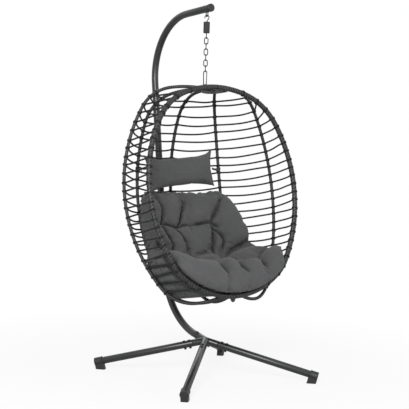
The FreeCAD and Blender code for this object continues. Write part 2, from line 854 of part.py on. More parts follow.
def rim_bolt_hole(side, end, radius):
    x = side * rim_bolt_x
    deep = V(x, 0, rim_pin_height(end) + end * rim_pin_radius / 2.0)
    return core(V(x, 0, plate_face(end) - end * 2 * plate_thickness), deep, radius, 6)


def make_rim_half(side):
    half = rim.solid(side, rim_facets, 0.5)
    for end in (UPPER, LOWER):
        middle = V(0, 0, rim_pin_height(end))
        reach = V(side * (rim_pin_half + seam_gap), 0, 0)
        half = half.cut(core(middle, middle + reach, rim_pin_radius + rim_pin_play, 8))
        half = half.cut(rim_bolt_hole(side, end, rim_bolt_radius + rim_bolt_play))
    return in_basket(half)


def make_rim_pins():
    pins = []
    for end in (UPPER, LOWER):
        middle = V(0, 0, rim_pin_height(end))
        half = V(rim_pin_half, 0, 0)
        pin = core(middle - half, middle + half, rim_pin_radius, 8)
        for side in (LEFT, RIGHT):
            pin = pin.cut(rim_bolt_hole(side, end, rim_bolt_radius + rim_bolt_play))
        pins.append(in_basket(pin))
    return Part.makeCompound(pins)


def make_rim_bolts():
    bolts = []
    for end in (UPPER, LOWER):
        for side in (LEFT, RIGHT):
            x = side * rim_bolt_x
            seat = V(x, 0, plate_face(end) - end * (plate_thickness + weld_gap))
            tip = V(x, 0, rim_pin_height(end))
            head = prism(seat - AXIS_Z * (end * rim_bolt_head_height), seat, rim_bolt_head_radius, 6)
            shank = prism(seat, tip, rim_bolt_radius, 6)
            bolts.append(in_basket(head.fuse(shank).removeSplitter()))
    return Part.makeCompound(bolts)


def make_plate(end):
    """The plate inside one end of the egg: a tab bolted under the rim and a fan that the ribs are welded to."""
    face = plate_face(end)
    low = min(face, face - end * plate_thickness)
    fan_front = rim_radius + plate_to_rim
    fan = Part.makeCylinder(plate_reach, plate_thickness, V(0, 0, low))
    fan = fan.common(Part.makeBox(2 * plate_reach, plate_reach, plate_thickness, V(-plate_reach, fan_front, low)))
    tab = Part.makeBox(2 * plate_tab, plate_tab_front + fan_front, plate_thickness, V(-plate_tab, -plate_tab_front, low))
    plate = fan.fuse(tab)
    for side in (LEFT, RIGHT):
        plate = plate.cut(rim_bolt_hole(side, end, rim_bolt_radius + 2 * rim_bolt_play))
    return in_basket(plate.removeSplitter())


def make_rib(hoop, side):
    return in_basket(hoop.solid(side, rib_facets, FLAT_ON_FLAT))


def make_basket_eye():
    """A loop of bar welded on the crown of the centre rib, where the snap hook passes through it."""
    centre = hang_point(eye_top - basket_eye_bend)
    foot = AXIS_Z * (basket_eye_bend - basket_eye_rise)
    points = [centre + AXIS_Y * basket_eye_bend + foot]
    points += arc_points(centre, basket_eye_bend, 0, 180, bend_steps, AXIS_Y, AXIS_Z)
    points += [centre - AXIS_Y * basket_eye_bend + foot]
    return bent_wire(points, AXIS_X, basket_eye_wire).cut(make_rib(centre_rib, RIGHT))


# Weave: straight strands from hoop to hoop, one row above another

BAYS = (("front", rim, side_rib), ("side", side_rib, back_rib), ("back", back_rib, centre_rib))


def row_height(row):
    return lowest_row + row * strand_pitch


def strand_end(point, other, tangent, radius):
    """Where a strand stops, just short of the hoop it is wound on."""
    direction = unit(other - point)
    angle = acos(min(1.0, abs(direction.dot(tangent))))
    stand_off = radius / sin(angle) + strand_radius / tan(angle) + strand_gap
    return point + direction * stand_off


def make_weave(first, second, side):
    strands = []
    for row in range(strand_rows):
        height = row_height(row)
        a, b = first.point(side, height), second.point(side, height)
        start = strand_end(a, b, first.tangent(side, height), first.radius)
        end = strand_end(b, a, second.tangent(side, height), second.radius)
        strands.append(in_basket(prism(start, end, strand_radius, 6)))
    return Part.makeCompound(strands)


# Seat cushion, shaped by the basket under it

HOOPS = (rim, side_rib, back_rib, centre_rib)
cushion_floor = plate_face(LOWER) + plate_thickness + weld_gap + rim_bolt_head_height + cushion_gap


def rim_seat(x):
    """Lowest height of a cushion that lies over the lower half of the rim, at a distance to the side."""
    height = rim.lower.height_at(x)
    return height + (rim_radius + cushion_gap) / cos(rim.lower.slope_at(height))


def has_room(x, v, h):
    """True where the cushion may be: inside hoops and strands, over the lower plate and on top of the rim."""
    x = abs(x)
    margin = cushion_gap + roll_side_gap * (x / cushion_half_width) ** 4
    seat = rim_seat(x) + margin
    if h < cushion_floor:
        return False
    if v < roll_seat and h < seat:
        return False
    spots = []
    for hoop in HOOPS:
        quarter = hoop.quarter(h)
        distance, heading = quarter.distance_at(h), radians(hoop.angle)
        spots.append((distance * cos(heading), distance * sin(heading), sin(quarter.slope_at(h))))
    if v < 0:
        below = min(1.0, max(0.0, 1.0 - (h - seat) / roll_half))
        reach = roll_reach * sqrt(1.0 - below * below)
        return v > -reach and (spots[0][0] - x) * spots[0][2] > rim_radius + margin
    for hoop, (x0, v0, steepness) in zip(HOOPS, spots):
        if hypot(x - x0, v - v0) * steepness < hoop.radius + cushion_gap:
            return False
    for (x0, v0, steepness), (x1, v1, _) in zip(spots, spots[1:]):
        inside = ((v0 - v) * (x0 - x1) - (x0 - x) * (v0 - v1)) / hypot(x1 - x0, v1 - v0)
        if inside * steepness < strand_radius + cushion_gap:
            return False
    return True


def wall_distance(x, angle):
    """How far a ray from the middle of a slice goes before it meets the basket."""
    near, far = 0.0, 700.0
    for _ in range(24):
        middle = (near + far) / 2.0
        if has_room(x, cushion_centre_v + middle * cos(angle), cushion_centre_h + middle * sin(angle)):
            near = middle
        else:
            far = middle
    return near


TUFTS = ((back_tuft_x, back_tuft_ray), (wing_tuft_x, wing_tuft_ray), (seat_tuft_x, seat_tuft_ray),
         (side_tuft_x, side_tuft_ray), (front_tuft_x, front_tuft_ray))


def dip(distance, width):
    """A smooth dip: 1 in its middle, 0 at its width."""
    return max(0.0, 1.0 - (distance / width) ** 2) ** 2


def slice_rays(x):
    """The first and last ray of a slice: the front stays behind the rim at the sides, and the back has corners."""
    front = max(0.0, (abs(x) - cushion_front_half) / (cushion_half_width - cushion_front_half))
    back = max(0.0, (abs(x) - cushion_back_half) / (cushion_half_width - cushion_back_half))
    first = cushion_front_ray + (cushion_side_ray - cushion_front_ray) * front * front * (3 - 2 * front)
    last = cushion_back_ray + (cushion_seat_ray - cushion_back_ray) * back ** cushion_shoulder
    return first, last


def cushion_depth(x, ray, first_ray, last_ray):
    """Thickness of the cushion: crowned, drawn in at its edges, with sewn tufts and the creases between them."""
    across = max(0.0, 1.0 - (abs(x) / cushion_half_width) ** 4) ** 0.5
    along = (ray - first_ray) / (last_ray - first_ray)
    ends = max(0.0, 1.0 - abs(2 * along - 1.0) ** 6) ** 0.5
    depth = cushion_edge + (cushion_thickness - cushion_edge) * across * ends
    crease = max(dip(abs(x) - crease_x, crease_width), dip(ray - crease_ray, crease_spread)) * crease_depth
    tuft = 0.0
    for tuft_x, tuft_ray in TUFTS:
        tuft = max(tuft, dip(hypot((abs(x) - tuft_x) / tuft_width, (ray - tuft_ray) / tuft_spread), 1.0))
    return depth - max(crease, tuft * tuft_depth) * across * ends


def cushion_slice(x):
    """One closed ring of points round the cushion, square to x, with a rounded edge at both ends."""
    first_ray, last_ray = slice_rays(x)
    outer, inner = [], []

    def spot(ray, distance):
        return V(x, cushion_centre_v + distance * cos(radians(ray)), cushion_centre_h + distance * sin(radians(ray)))

    for i in range(cushion_rays + 1):
        ray = first_ray + (last_ray - first_ray) * i / cushion_rays
        wall = wall_distance(x, radians(ray))
        outer.append(spot(ray, wall))
        inner.append(spot(ray, wall - cushion_depth(x, ray, first_ray, last_ray)))
    half = cushion_edge / 2.0
    front = spot(first_ray - cushion_rounding, wall_distance(x, radians(first_ray)) - half)
    back = spot(last_ray + cushion_rounding, wall_distance(x, radians(last_ray)) - half)
    return [front] + outer + [back] + inner[::-1]


def crowded(count):
    """Places from -1 to 1 that lie closer together towards the ends."""
    return [sin(pi / 2 * (2.0 * i / count - 1.0)) for i in range(count + 1)]


def make_cushion():
    return in_basket(skin_rings([cushion_slice(share * cushion_half_width) for share in crowded(cushion_slices)]))


# Head pillow and its ties

def pillow_slice(share):
    """One ring of points round the pillow, square to its length."""
    x = share * pillow_width / 2.0
    fullness = max(0.0, 1.0 - abs(share) ** 3) ** 0.5
    half = pillow_height / 2.0 - pillow_pinch * (1.0 - share * share)
    thick = (pillow_edge + (pillow_thickness - pillow_edge) * fullness) / 2.0
    corners = []
    for i in range(pillow_sides):
        angle = 2 * pi * (i + 0.5) / pillow_sides
        up = half * abs(sin(angle)) ** 0.8 * (1 if sin(angle) > 0 else -1)
        out = thick * abs(cos(angle)) ** 1.1 * (1 if cos(angle) > 0 else -1)
        corners.append(V(x, out, up))
    return corners


def pillow_rings():
    """The pillow's rings at their height and tilt, with the middle of the pillow at v = 0."""
    turn = FreeCAD.Rotation(AXIS_Y, -pillow_roll).multiply(FreeCAD.Rotation(AXIS_X, pillow_tilt))
    rings = []
    for share in crowded(pillow_slices):
        rings.append([turn.multVec(corner) + AXIS_Z * pillow_h for corner in pillow_slice(share)])
    return rings


def back_wall(x, h):
    """How far back the weave's inner side is, between the two back ribs."""
    centre, side = centre_rib.point(RIGHT, h), back_rib.point(RIGHT, h)
    run = hypot(side.x, side.y - centre.y)
    strands = centre.y + (side.y - centre.y) * abs(x) / side.x - strand_radius * run / side.x
    return min(strands, centre.y - rib_radius)


def pillow_v():
    """Where the pillow's middle is when it leans on the weave."""
    corners = [corner for ring_corners in pillow_rings() for corner in ring_corners]
    return min(back_wall(corner.x, corner.z) - corner.y for corner in corners) - pillow_gap


def make_pillow():
    pillow = skin_rings(pillow_rings())
    pillow.translate(V(0, pillow_v(), 0))
    return in_basket(pillow)


def make_tie(side):
    """A flat tie: a loop round the back rib and a tail that is sewn to the pillow's end."""
    height = row_height(tie_row + 0.5)
    spot = back_rib.point(side, height)
    heading = back_rib.heading(side)
    out = V(cos(heading), sin(heading), 0)
    along = V(-sin(heading), cos(heading), 0)
    inner = rib_radius + tie_gap
    low = spot - AXIS_Z * (tie_width / 2.0)

    def square(reach):
        corners = [low + out * a + along * b
                   for a, b in ((reach, reach), (-reach, reach), (-reach, -reach), (reach, -reach))]
        return Part.Face(outline(corners)).extrude(AXIS_Z * tie_width)

    loop = square(inner + tie_thickness).cut(square(inner))
    start = low - out * (inner + tie_thickness / 2.0)
    middle = pillow_v()
    reach = V(side * pillow_width / 2.0, middle, start.z) - start
    width = unit(reach.cross(AXIS_Z)) * (tie_thickness / 2.0)
    tail = Part.Face(outline([start - width, start + width, start + width + reach, start - width + reach]))
    tail = tail.extrude(AXIS_Z * tie_width)
    lean = (abs(start.z - pillow_h) + tie_width) * sin(radians(pillow_roll))
    sewn = pillow_width / 2.0 + lean + tie_gap
    pillow_room = Part.makeBox(2 * sewn, middle * 2, tie_width * 2, V(-sewn, 0, low.z - tie_width / 2.0))
    return in_basket(loop.fuse(tail).cut(pillow_room).removeSplitter())


def build():
    os.makedirs("parts", exist_ok=True)
    export("base_hub", make_hub())
    for name, heading in LEGS:
        export("leg_" + name, make_leg(heading))
        export("foot_cap_" + name, make_foot(heading))
    bolts, nuts = make_leg_fasteners()
    export("leg_bolts", bolts)
    export("leg_nuts", nuts)
    export("lower_pole", make_lower_pole())
    export("upper_pole", make_upper_pole())
    bolt, nut = through_bolt(pole_start + pole_direction * pole_bolt_offset, pole_normal)
    export("pole_bolt", bolt)
    export("pole_nut", nut)
    export("arm_cap", make_arm_cap())
    export("hanging_eye", make_hanging_eye())
    export("spring_upper_hook", make_upper_hook())
    export("spring_coil", make_coil())
    export("spring_sleeve", make_sleeve())
    export("spring_lower_hook", make_lower_hook())
    for index in range(link_count):
        export("chain_link_" + str(index + 1), make_link(index))
    export("snap_hook", make_snap_hook())
    export("snap_gate", make_gate())
    export("gate_pin", make_gate_pin())
    export("basket_eye", make_basket_eye())
    for name, side in SIDES:
        export("rim_" + name, make_rim_half(side))
        export("side_rib_" + name, make_rib(side_rib, side))
        export("back_rib_" + name, make_rib(back_rib, side))
        for bay, first, second in BAYS:
            export("weave_" + bay + "_" + name, make_weave(first, second, side))
        export("pillow_tie_" + name, make_tie(side))
    export("centre_rib", make_rib(centre_rib, RIGHT))
    export("crown_plate", make_plate(UPPER))
    export("keel_plate", make_plate(LOWER))
    export("rim_pins", make_rim_pins())
    export("rim_bolts", make_rim_bolts())
    export("seat_cushion", make_cushion())
    export("head_pillow", make_pillow())


build()
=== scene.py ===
import json
import random
from math import acos, asin, atan2, cos, hypot, pi, radians, sin, sqrt, tan

import bpy
import bmesh
import numpy as np
from mathutils import Matrix, Vector
from mathutils.bvhtree import BVHTree


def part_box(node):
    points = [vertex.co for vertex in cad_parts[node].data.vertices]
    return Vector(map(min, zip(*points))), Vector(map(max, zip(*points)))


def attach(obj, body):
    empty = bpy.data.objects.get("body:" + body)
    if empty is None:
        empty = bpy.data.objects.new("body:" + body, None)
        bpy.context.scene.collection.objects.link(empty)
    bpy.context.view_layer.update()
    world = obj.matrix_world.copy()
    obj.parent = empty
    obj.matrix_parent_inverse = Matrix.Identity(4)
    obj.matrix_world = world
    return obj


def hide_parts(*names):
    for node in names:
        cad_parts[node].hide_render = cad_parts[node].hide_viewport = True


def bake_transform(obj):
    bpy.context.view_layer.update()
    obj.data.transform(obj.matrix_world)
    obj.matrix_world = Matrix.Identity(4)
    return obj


# Hanging egg chair, dressed. Lengths are millimetres until a mesh is made, and then metres.

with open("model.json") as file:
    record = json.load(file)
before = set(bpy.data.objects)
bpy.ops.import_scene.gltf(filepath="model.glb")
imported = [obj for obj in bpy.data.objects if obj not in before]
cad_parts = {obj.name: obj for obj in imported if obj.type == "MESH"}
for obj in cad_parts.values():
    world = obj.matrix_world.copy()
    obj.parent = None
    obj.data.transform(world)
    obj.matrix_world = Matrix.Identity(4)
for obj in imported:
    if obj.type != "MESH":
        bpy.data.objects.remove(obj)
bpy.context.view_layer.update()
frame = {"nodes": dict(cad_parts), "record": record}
nodes = frame["nodes"]


def vec(x, y, z):
    return np.array((x, y, z), float)


def unit(vector):
    return vector / np.linalg.norm(vector)


X, Y, Z = vec(1, 0, 0), vec(0, 1, 0), vec(0, 0, 1)
LEFT, RIGHT = -1, 1
SIDES = (("left", LEFT), ("right", RIGHT))
UPPER, LOWER = 1, -1

# Sizes shared with the CAD source

tube_radius = 19.0
hang_y = 6.4
hub = vec(0, hang_y - 78.0, 190.0)
LEGS = (("front_left", 225), ("front_right", 315), ("rear_left", 135), ("rear_right", 45))
foot_reach = 591.0
leg_end_height = 38.0
leg_overrun = 8.0
stub_length = 70.0
pole_stub_length = 58.0
seam_gap = 0.2
leg_bolts = (18.0, 46.0)
pole_bolt_offset = 24.0
foot_length = 48.0
foot_width = 38.0
foot_wall = 4.0
foot_grip = 40.0
pole_start_rise = 10.4
pole_lean = 81.6
pole_top_rise = 4.0
lower_bend = 380.0
upper_bend = 320.0
straight_point = vec(0, hang_y + 451.0, 1329.0)
arm_point = vec(0, hang_y, 1946.7)
arm_tip = 36.0
pole_joint_height = 1058.0
bolt_radius = 4.0
bolt_head_radius = 8.0
bolt_head_height = 2.4
nut_height = 6.5
bolt_overrun = 1.5
fastener_gap = 0.1
cap_wall = 2.0
cap_skirt = 14.0
cap_face = 5.0
eye_wire = 3.0
eye_bend = 8.0
eye_drop = 41.7

hook_wire = 2.5
hook_bend = 11.0
hook_open = 210.0
hook_turn_down = -30.0
hardware_turn = radians(35.6)
link_play = 0.3
eye_play = 1.3
sleeve_bore = 12.9
sleeve_wall = 2.9
sleeve_length = 59.0
sleeve_drop = 12.5
sleeve_ribs = 16
sleeve_rib_depth = 1.2
plug_radius = 12.4
plug_thickness = 5.0
plug_inset = 4.0
lower_plug_inset = 15.0
coil_wire = 1.9
coil_radius = 10.0
coil_turns = 5
coil_seat = 2.4
lower_hook_bend = 8.5
lower_hook_stem = 12.0
lower_hook_turn = 45.0
lower_hook_open = -225.0
link_count = 6
link_inner_length = 29.5
link_outer_width = 24.0
link_wire = 2.5
snap_wire = 2.5
snap_length = 77.5
snap_top_bend = 8.6
snap_bottom_bend = 7.4
gate_wire = 2.2
gate_low = 16.0
gate_high = 49.0
gate_gap = 0.5
gate_boss_radius = 2.9
gate_boss_width = 2.2
cheek_width = 1.3
cheek_radius = 3.0
cheek_gap = 0.15
strap_length = 7.4
pin_radius = 1.0

basket_lean = radians(11.4)
basket_eye_v = 99.5
basket_eye_rise = 31.0
basket_eye_wire = 2.5
basket_eye_bend = 8.5
waist_height = 5.0
rim_radius = 12.5
rib_radius = 8.0
rim_seam = 1.0
rib_crown = 553.0
rib_keel = -570.0
rib_crown_bend = 553.0
rib_keel_bend = 400.0
strand_radius = 3.3
strand_rows = 24
strand_pitch = 44.0
lowest_row = -505.0
cushion_centre_v = 60.0
cushion_centre_h = -80.0
cushion_gap = 1.2
roll_seat = 58.0
cushion_half_width = 394.0
tie_row = 15


# Materials

def material(name, colour, roughness, metallic=0.0, **sockets):
    """A new material with its plain values set on the shader, and its node tree."""
    made = bpy.data.materials.new(name)
    made.use_nodes = True
    shader = made.node_tree.nodes["Principled BSDF"]
    shader.inputs["Base Color"].default_value = (*colour, 1.0)
    shader.inputs["Roughness"].default_value = roughness
    shader.inputs["Metallic"].default_value = metallic
    for socket, value in sockets.items():
        shader.inputs[socket.replace("_", " ")].default_value = value
    return made, made.node_tree, shader


def node(tree, kind, **values):
    made = tree.nodes.new(kind)
    for key, value in values.items():
        setattr(made, key, value)
    return made


def noise(tree, coordinates, scale, detail=3.0, rough=0.5):
    made = node(tree, "ShaderNodeTexNoise")
    made.inputs["Scale"].default_value = scale
    made.inputs["Detail"].default_value = detail
    made.inputs["Roughness"].default_value = rough
    tree.links.new(coordinates, made.inputs["Vector"])
    return made.outputs["Fac"]


def stretched(tree, source, scale):
    made = node(tree, "ShaderNodeMapping")
    made.inputs["Scale"].default_value = scale
    tree.links.new(source, made.inputs["Vector"])
    return made.outputs["Vector"]


def maths(tree, operation, a, b):
    made = node(tree, "ShaderNodeMath", operation=operation)
    for socket, value in zip(made.inputs, (a, b)):
        if isinstance(value, (int, float)):
            socket.default_value = value
        else:
            tree.links.new(value, socket)
    return made.outputs[0]


def ramp(tree, fac, stops):
    """A colour ramp from (place, grey or colour) stops."""
    made = node(tree, "ShaderNodeValToRGB")
    while len(made.color_ramp.elements) < len(stops):
        made.color_ramp.elements.new(0.5)
    for element, (place, value) in zip(made.color_ramp.elements, stops):
        element.position = place
        element.color = (*value, 1.0) if isinstance(value, tuple) else (value, value, value, 1.0)
    tree.links.new(fac, made.inputs["Fac"])
    return made.outputs["Color"]


def bump(tree, shader, height, strength, distance):
    made = node(tree, "ShaderNodeBump")
    made.inputs["Strength"].default_value = strength
    made.inputs["Distance"].default_value = distance
    tree.links.new(height, made.inputs["Height"])
    tree.links.new(made.outputs["Normal"], shader.inputs["Normal"])


def shade(colour, factor):
    return tuple(min(1.0, channel * factor) for channel in colour)


def weighted(tree, *terms):
    """The sum of (value, weight) pairs."""
    total = None
    for value, weight in terms:
        part = maths(tree, "MULTIPLY", value, weight)
        total = part if total is None else maths(tree, "ADD", total, part)
    return total


def tones(tree, fac, colour, stops):
    """A ramp of one colour from (place, factor) stops."""
    return ramp(tree, fac, [(place, shade(colour, factor)) for place, factor in stops])


def paint(tree, shader, fac, colour, stops):
    tree.links.new(tones(tree, fac, colour, stops), shader.inputs["Base Color"])


def gloss(tree, shader, fac, low, high, reach=(0.3, 0.7)):
    """Roughness that goes from low to high with a texture."""
    tree.links.new(ramp(tree, fac, ((reach[0], low), (reach[1], high))), shader.inputs["Roughness"])


def powder_coat(name, colour, roughness):
    """Satin powder coat: a fine orange peel, and slow changes of gloss and tone."""
    made, tree, shader = material(name, colour, roughness, Coat_Weight=0.08, Coat_Roughness=0.35)
    place = node(tree, "ShaderNodeTexCoord").outputs["Object"]
    slow = noise(tree, place, 6.0, 4.0)
    peel = noise(tree, place, 700.0, 2.0)
    paint(tree, shader, slow, colour, ((0.3, 0.9), (0.7, 1.1)))
    gloss(tree, shader, slow, roughness - 0.05, roughness + 0.06)
    bump(tree, shader, peel, 0.15, 0.0002)
    return made


def wicker(name, colour):
    """Resin wicker: fine grain along the strand, a few paler and darker runs, and a dull gloss."""
    made, tree, shader = material(name, colour, 0.5)
    shader.inputs["Specular IOR Level"].default_value = 0.3
    place = node(tree, "ShaderNodeTexCoord")
    along = stretched(tree, place.outputs["UV"], (40.0, 1500.0, 1.0))
    grain = noise(tree, along, 1.0, 4.0, 0.6)
    runs = noise(tree, place.outputs["Object"], 14.0, 2.0)
    mixed = weighted(tree, (grain, 0.6), (runs, 0.4))
    paint(tree, shader, mixed, colour, ((0.3, 0.62), (0.5, 1.0), (0.72, 1.5)))
    gloss(tree, shader, grain, 0.42, 0.62)
    bump(tree, shader, grain, 0.45, 0.0005)
    return made


def wrapped(name, colour):
    """Wicker strip plaited round a bar, with a painted highlight along the crown of each strip and painted
    shade in the grooves where it meets the next.
    """
    made, tree, shader = material(name, colour, 0.5)
    place = node(tree, "ShaderNodeTexCoord")
    split = node(tree, "ShaderNodeSeparateXYZ")
    tree.links.new(place.outputs["UV"], split.inputs[0])
    phase = maths(tree, "FRACT", maths(tree, "SUBTRACT", split.outputs["X"], split.outputs["Y"]), 0.0)
    edge = maths(tree, "MULTIPLY", maths(tree, "ABSOLUTE", maths(tree, "SUBTRACT", phase, 0.5), 0.0), 2.0)
    grain = noise(tree, stretched(tree, place.outputs["UV"], (16.0, 5.0, 1.0)), 1.0, 3.0, 0.6)
    runs = noise(tree, place.outputs["Object"], 30.0, 3.0)
    tone = weighted(tree, (edge, 0.7), (grain, 0.3), (maths(tree, "SUBTRACT", runs, 0.5), 0.5))
    # Painted highlight on the strip's crown, up to four times the colour, and painted shade in the grooves,
    # down to 0.15 of it
    paint(tree, shader, tone, colour, ((0.12, 4.0), (0.36, 0.8), (0.68, 0.15)))
    gloss(tree, shader, grain, 0.42, 0.62)
    bump(tree, shader, grain, 0.45, 0.0004)
    return made


def dark_steel(name, colour, roughness):
    """Darkened steel with blotches of tone and gloss."""
    made, tree, shader = material(name, colour, roughness, 0.85)
    place = node(tree, "ShaderNodeTexCoord").outputs["Object"]
    blotch = noise(tree, place, 120.0, 5.0)
    paint(tree, shader, blotch, colour, ((0.3, 0.75), (0.7, 1.25)))
    gloss(tree, shader, blotch, roughness - 0.1, roughness + 0.15, (0.25, 0.75))
    bump(tree, shader, noise(tree, place, 1500.0), 0.15, 0.0002)
    return made


def moulded(name, colour, roughness, grain):
    """Moulded plastic or rubber with a fine spark-eroded grain."""
    made, tree, shader = material(name, colour, roughness)
    place = node(tree, "ShaderNodeTexCoord").outputs["Object"]
    tone = noise(tree, place, 20.0, 3.0)
    paint(tree, shader, tone, colour, ((0.3, 0.85), (0.7, 1.2)))
    gloss(tree, shader, tone, roughness - 0.05, roughness + 0.08)
    bump(tree, shader, noise(tree, place, grain, 2.0), 0.35, 0.0003)
    return made


def canvas(name, colour, thread):
    """Plain-weave canvas: crossing threads, slubs, a soft sheen, and painted shade: ambient occlusion darkens
    the colour in folds and creases and where the cloth meets the frame.
    """
    made, tree, shader = material(name, colour, 0.92, Sheen_Weight=0.12, Sheen_Roughness=0.6)
    shader.inputs["Specular IOR Level"].default_value = 0.25
    place = node(tree, "ShaderNodeTexCoord").outputs["Object"]
    threads = []
    for direction in ("X", "Z", "Y"):
        wave = node(tree, "ShaderNodeTexWave", bands_direction=direction)
        wave.inputs["Scale"].default_value = pi / 10 / thread
        wave.inputs["Distortion"].default_value = 1.2
        wave.inputs["Detail"].default_value = 1.0
        tree.links.new(place, wave.inputs["Vector"])
        threads.append(wave.outputs["Fac"])
    weave = maths(tree, "ADD", maths(tree, "ADD", *threads[:2]), threads[2])
    slub = noise(tree, stretched(tree, place, (260.0, 900.0, 260.0)), 1.0, 3.0)
    cloudy = noise(tree, place, 9.0, 5.0, 0.6)
    tone = weighted(tree, (weave, 0.13), (slub, 0.25), (cloudy, 0.35))
    # Painted shade: ambient occlusion darkens the base colour in folds, creases and where the cloth touches
    # the frame
    open_air = node(tree, "ShaderNodeAmbientOcclusion", samples=6)
    open_air.inputs["Distance"].default_value = 0.04
    shaded = node(tree, "ShaderNodeMix", data_type="RGBA", blend_type="MULTIPLY")
    shaded.inputs["Factor"].default_value = 1.0
    tree.links.new(tones(tree, tone, colour, ((0.3, 0.75), (0.5, 1.0), (0.72, 1.25))), shaded.inputs[6])
    painted_fold_shade = ramp(tree, open_air.outputs["AO"], ((0.3, 0.10), (0.62, 0.55), (0.92, 1.0)))
    tree.links.new(painted_fold_shade, shaded.inputs[7])
    tree.links.new(shaded.outputs[2], shader.inputs["Base Color"])
    bump(tree, shader, maths(tree, "ADD", maths(tree, "MULTIPLY", weave, 0.5), slub), 0.5, 0.0005)
    return made


SLOTS = {
    "charcoal_tube": powder_coat("charcoal_powder_coat", (0.014, 0.0145, 0.0155), 0.34),
    "charcoal_eye": powder_coat("eye_powder_coat", (0.012, 0.0125, 0.014), 0.34),
    "rattan_frame": wrapped("wound_wicker", (0.015, 0.015, 0.016)),
    "rattan_strand": wicker("strand_wicker", (0.007, 0.007, 0.0075)),
    "dark_hardware": dark_steel("dark_zinc", (0.020, 0.0205, 0.022), 0.42),
    "black_bolts": dark_steel("black_bolt_steel", (0.035, 0.035, 0.038), 0.40),
    "black_rubber": moulded("sleeve_rubber", (0.012, 0.012, 0.013), 0.62, 500.0),
    "black_plastic": moulded("cap_plastic", (0.011, 0.011, 0.012), 0.45, 900.0),
    "grey_canvas": canvas("grey_canvas", (0.078, 0.0785, 0.080), 0.0011),
}
tape = canvas("grey_tape", (0.045, 0.046, 0.048), 0.0009)
for entry in frame["record"]["subparts"]:
    mesh = nodes[entry["node"]].data
    mesh.materials.clear()
    mesh.materials.append(SLOTS[entry["material_slot"]])


# Mesh helpers

class Form:
    """Points and faces of one piece, gathered from swept, turned and bridged forms."""

    def __init__(self):
        self.points, self.faces, self.uvs = [], [], []
        self.count = 0

    def rings(self, rings, around=False, caps=True, scale=(1.0, 1.0)):
        """Joins rings of equally many points; around closes the last ring to the first."""
        rings = np.asarray(rings, float)
        n, m = rings.shape[:2]
        base = self.count
        self.points.append(rings.reshape(-1, 3))
        self.count += n * m
        for i in range(n if around else n - 1):
            here, there = base + i * m, base + (i + 1) % n * m
            u0, u1 = i * scale[0], (i + 1) * scale[0]
            for k in range(m):
                j = (k + 1) % m
                v0, v1 = k * scale[1], (k + 1) * scale[1]
                self.faces.append((here + k, here + j, there + j, there + k))
                self.uvs.append(((u0, v0), (u0, v1), (u1, v1), (u1, v0)))
        if caps and not around:
            for start, turn in ((base, -1), (base + (n - 1) * m, 1)):
                self.faces.append(tuple(range(start, start + m))[::turn])
                self.uvs.append(((0.0, 0.0),) * m)
        return self

    def tube(self, points, radius, sides, hint=Z, around=False):
        """A round bar along points; the radius may differ from point to point and round the section."""
        points = np.asarray(points, float)
        across, other = carried(points, hint, around)
        angle = 2 * pi * np.arange(sides) / sides
        radius = np.asarray(radius, float)
        if radius.ndim < 2:
            radius = np.broadcast_to(radius, (sides, len(points))).T
        circle = across[:, None] * np.cos(angle)[:, None] + other[:, None] * np.sin(angle)[:, None]
        step = float(np.mean(np.linalg.norm(np.diff(points, axis=0), axis=1))) / 1000.0
        wide = 2 * pi * float(np.mean(radius)) / sides / 1000.0
        return self.rings(points[:, None] + circle * radius[..., None], around, True, (step, wide))

    def bar(self, points, radius, sides, bevel, hint=Z):
        """A tube with slightly rounded ends."""
        points = np.asarray(points, float)
        first, last = unit(points[1] - points[0]), unit(points[-1] - points[-2])
        start = [points[0], points[0] + first * bevel * 0.3, points[0] + first * bevel]
        end = [points[-1] - last * bevel, points[-1] - last * bevel * 0.3, points[-1]]
        radii = [radius - bevel, radius - bevel * 0.3, radius]
        inner = list(points[1:-1])
        return self.tube(start + inner + end, radii + [radius] * len(inner) + radii[::-1], sides, hint)

    def turned(self, start, direction, profile, sides=40):
        """A turned form from (along, radius) pairs."""
        direction = unit(direction)
        points = [start + direction * along for along, _ in profile]
        across = unit(np.cross(direction, Z if abs(direction[2]) < 0.9 else X))
        other = np.cross(direction, across)
        angle = 2 * pi * np.arange(sides) / sides
        circle = np.outer(np.cos(angle), across) + np.outer(np.sin(angle), other)
        return self.rings([point + circle * max(radius, 0.02) for point, (_, radius) in zip(points, profile)])

    def prism(self, outline, direction):
        """An outline of points, thickened."""
        outline = np.asarray(outline, float)
        return self.rings([outline, outline + direction])

    def mesh(self, name):
        mesh = bpy.data.meshes.new(name)
        points = np.concatenate(self.points) / 1000.0
        mesh.from_pydata(points.tolist(), [], self.faces)
        layer = mesh.uv_layers.new(name="UVMap")
        flat = np.array([uv for face in self.uvs for uv in face], np.float32)
        layer.data.foreach_set("uv", flat.ravel())
        return mesh

    def piece(self, name, body, slot, replaced=(), angle=38.0, look=None):
        return settle(bpy.data.objects.new(name, self.mesh(name)), body, slot, replaced, angle, look)


def carried(points, hint, around=False):
    """Two directions square to a path and to each other, carried along it without twist."""
    if around:
        ahead = np.roll(points, -1, 0) - np.roll(points, 1, 0)
    else:
        ahead = np.gradient(points, axis=0)
    tangents = ahead / np.linalg.norm(ahead, axis=1)[:, None]
    across = hint - tangents[0] * (hint @ tangents[0])
    if np.linalg.norm(across) < 0.1:
        across = X - tangents[0] * (X @ tangents[0])
    directions = []
    for tangent in tangents:
        across = unit(across - tangent * (across @ tangent))
        directions.append(across)
    directions = np.array(directions)
    return directions, np.cross(tangents, directions)


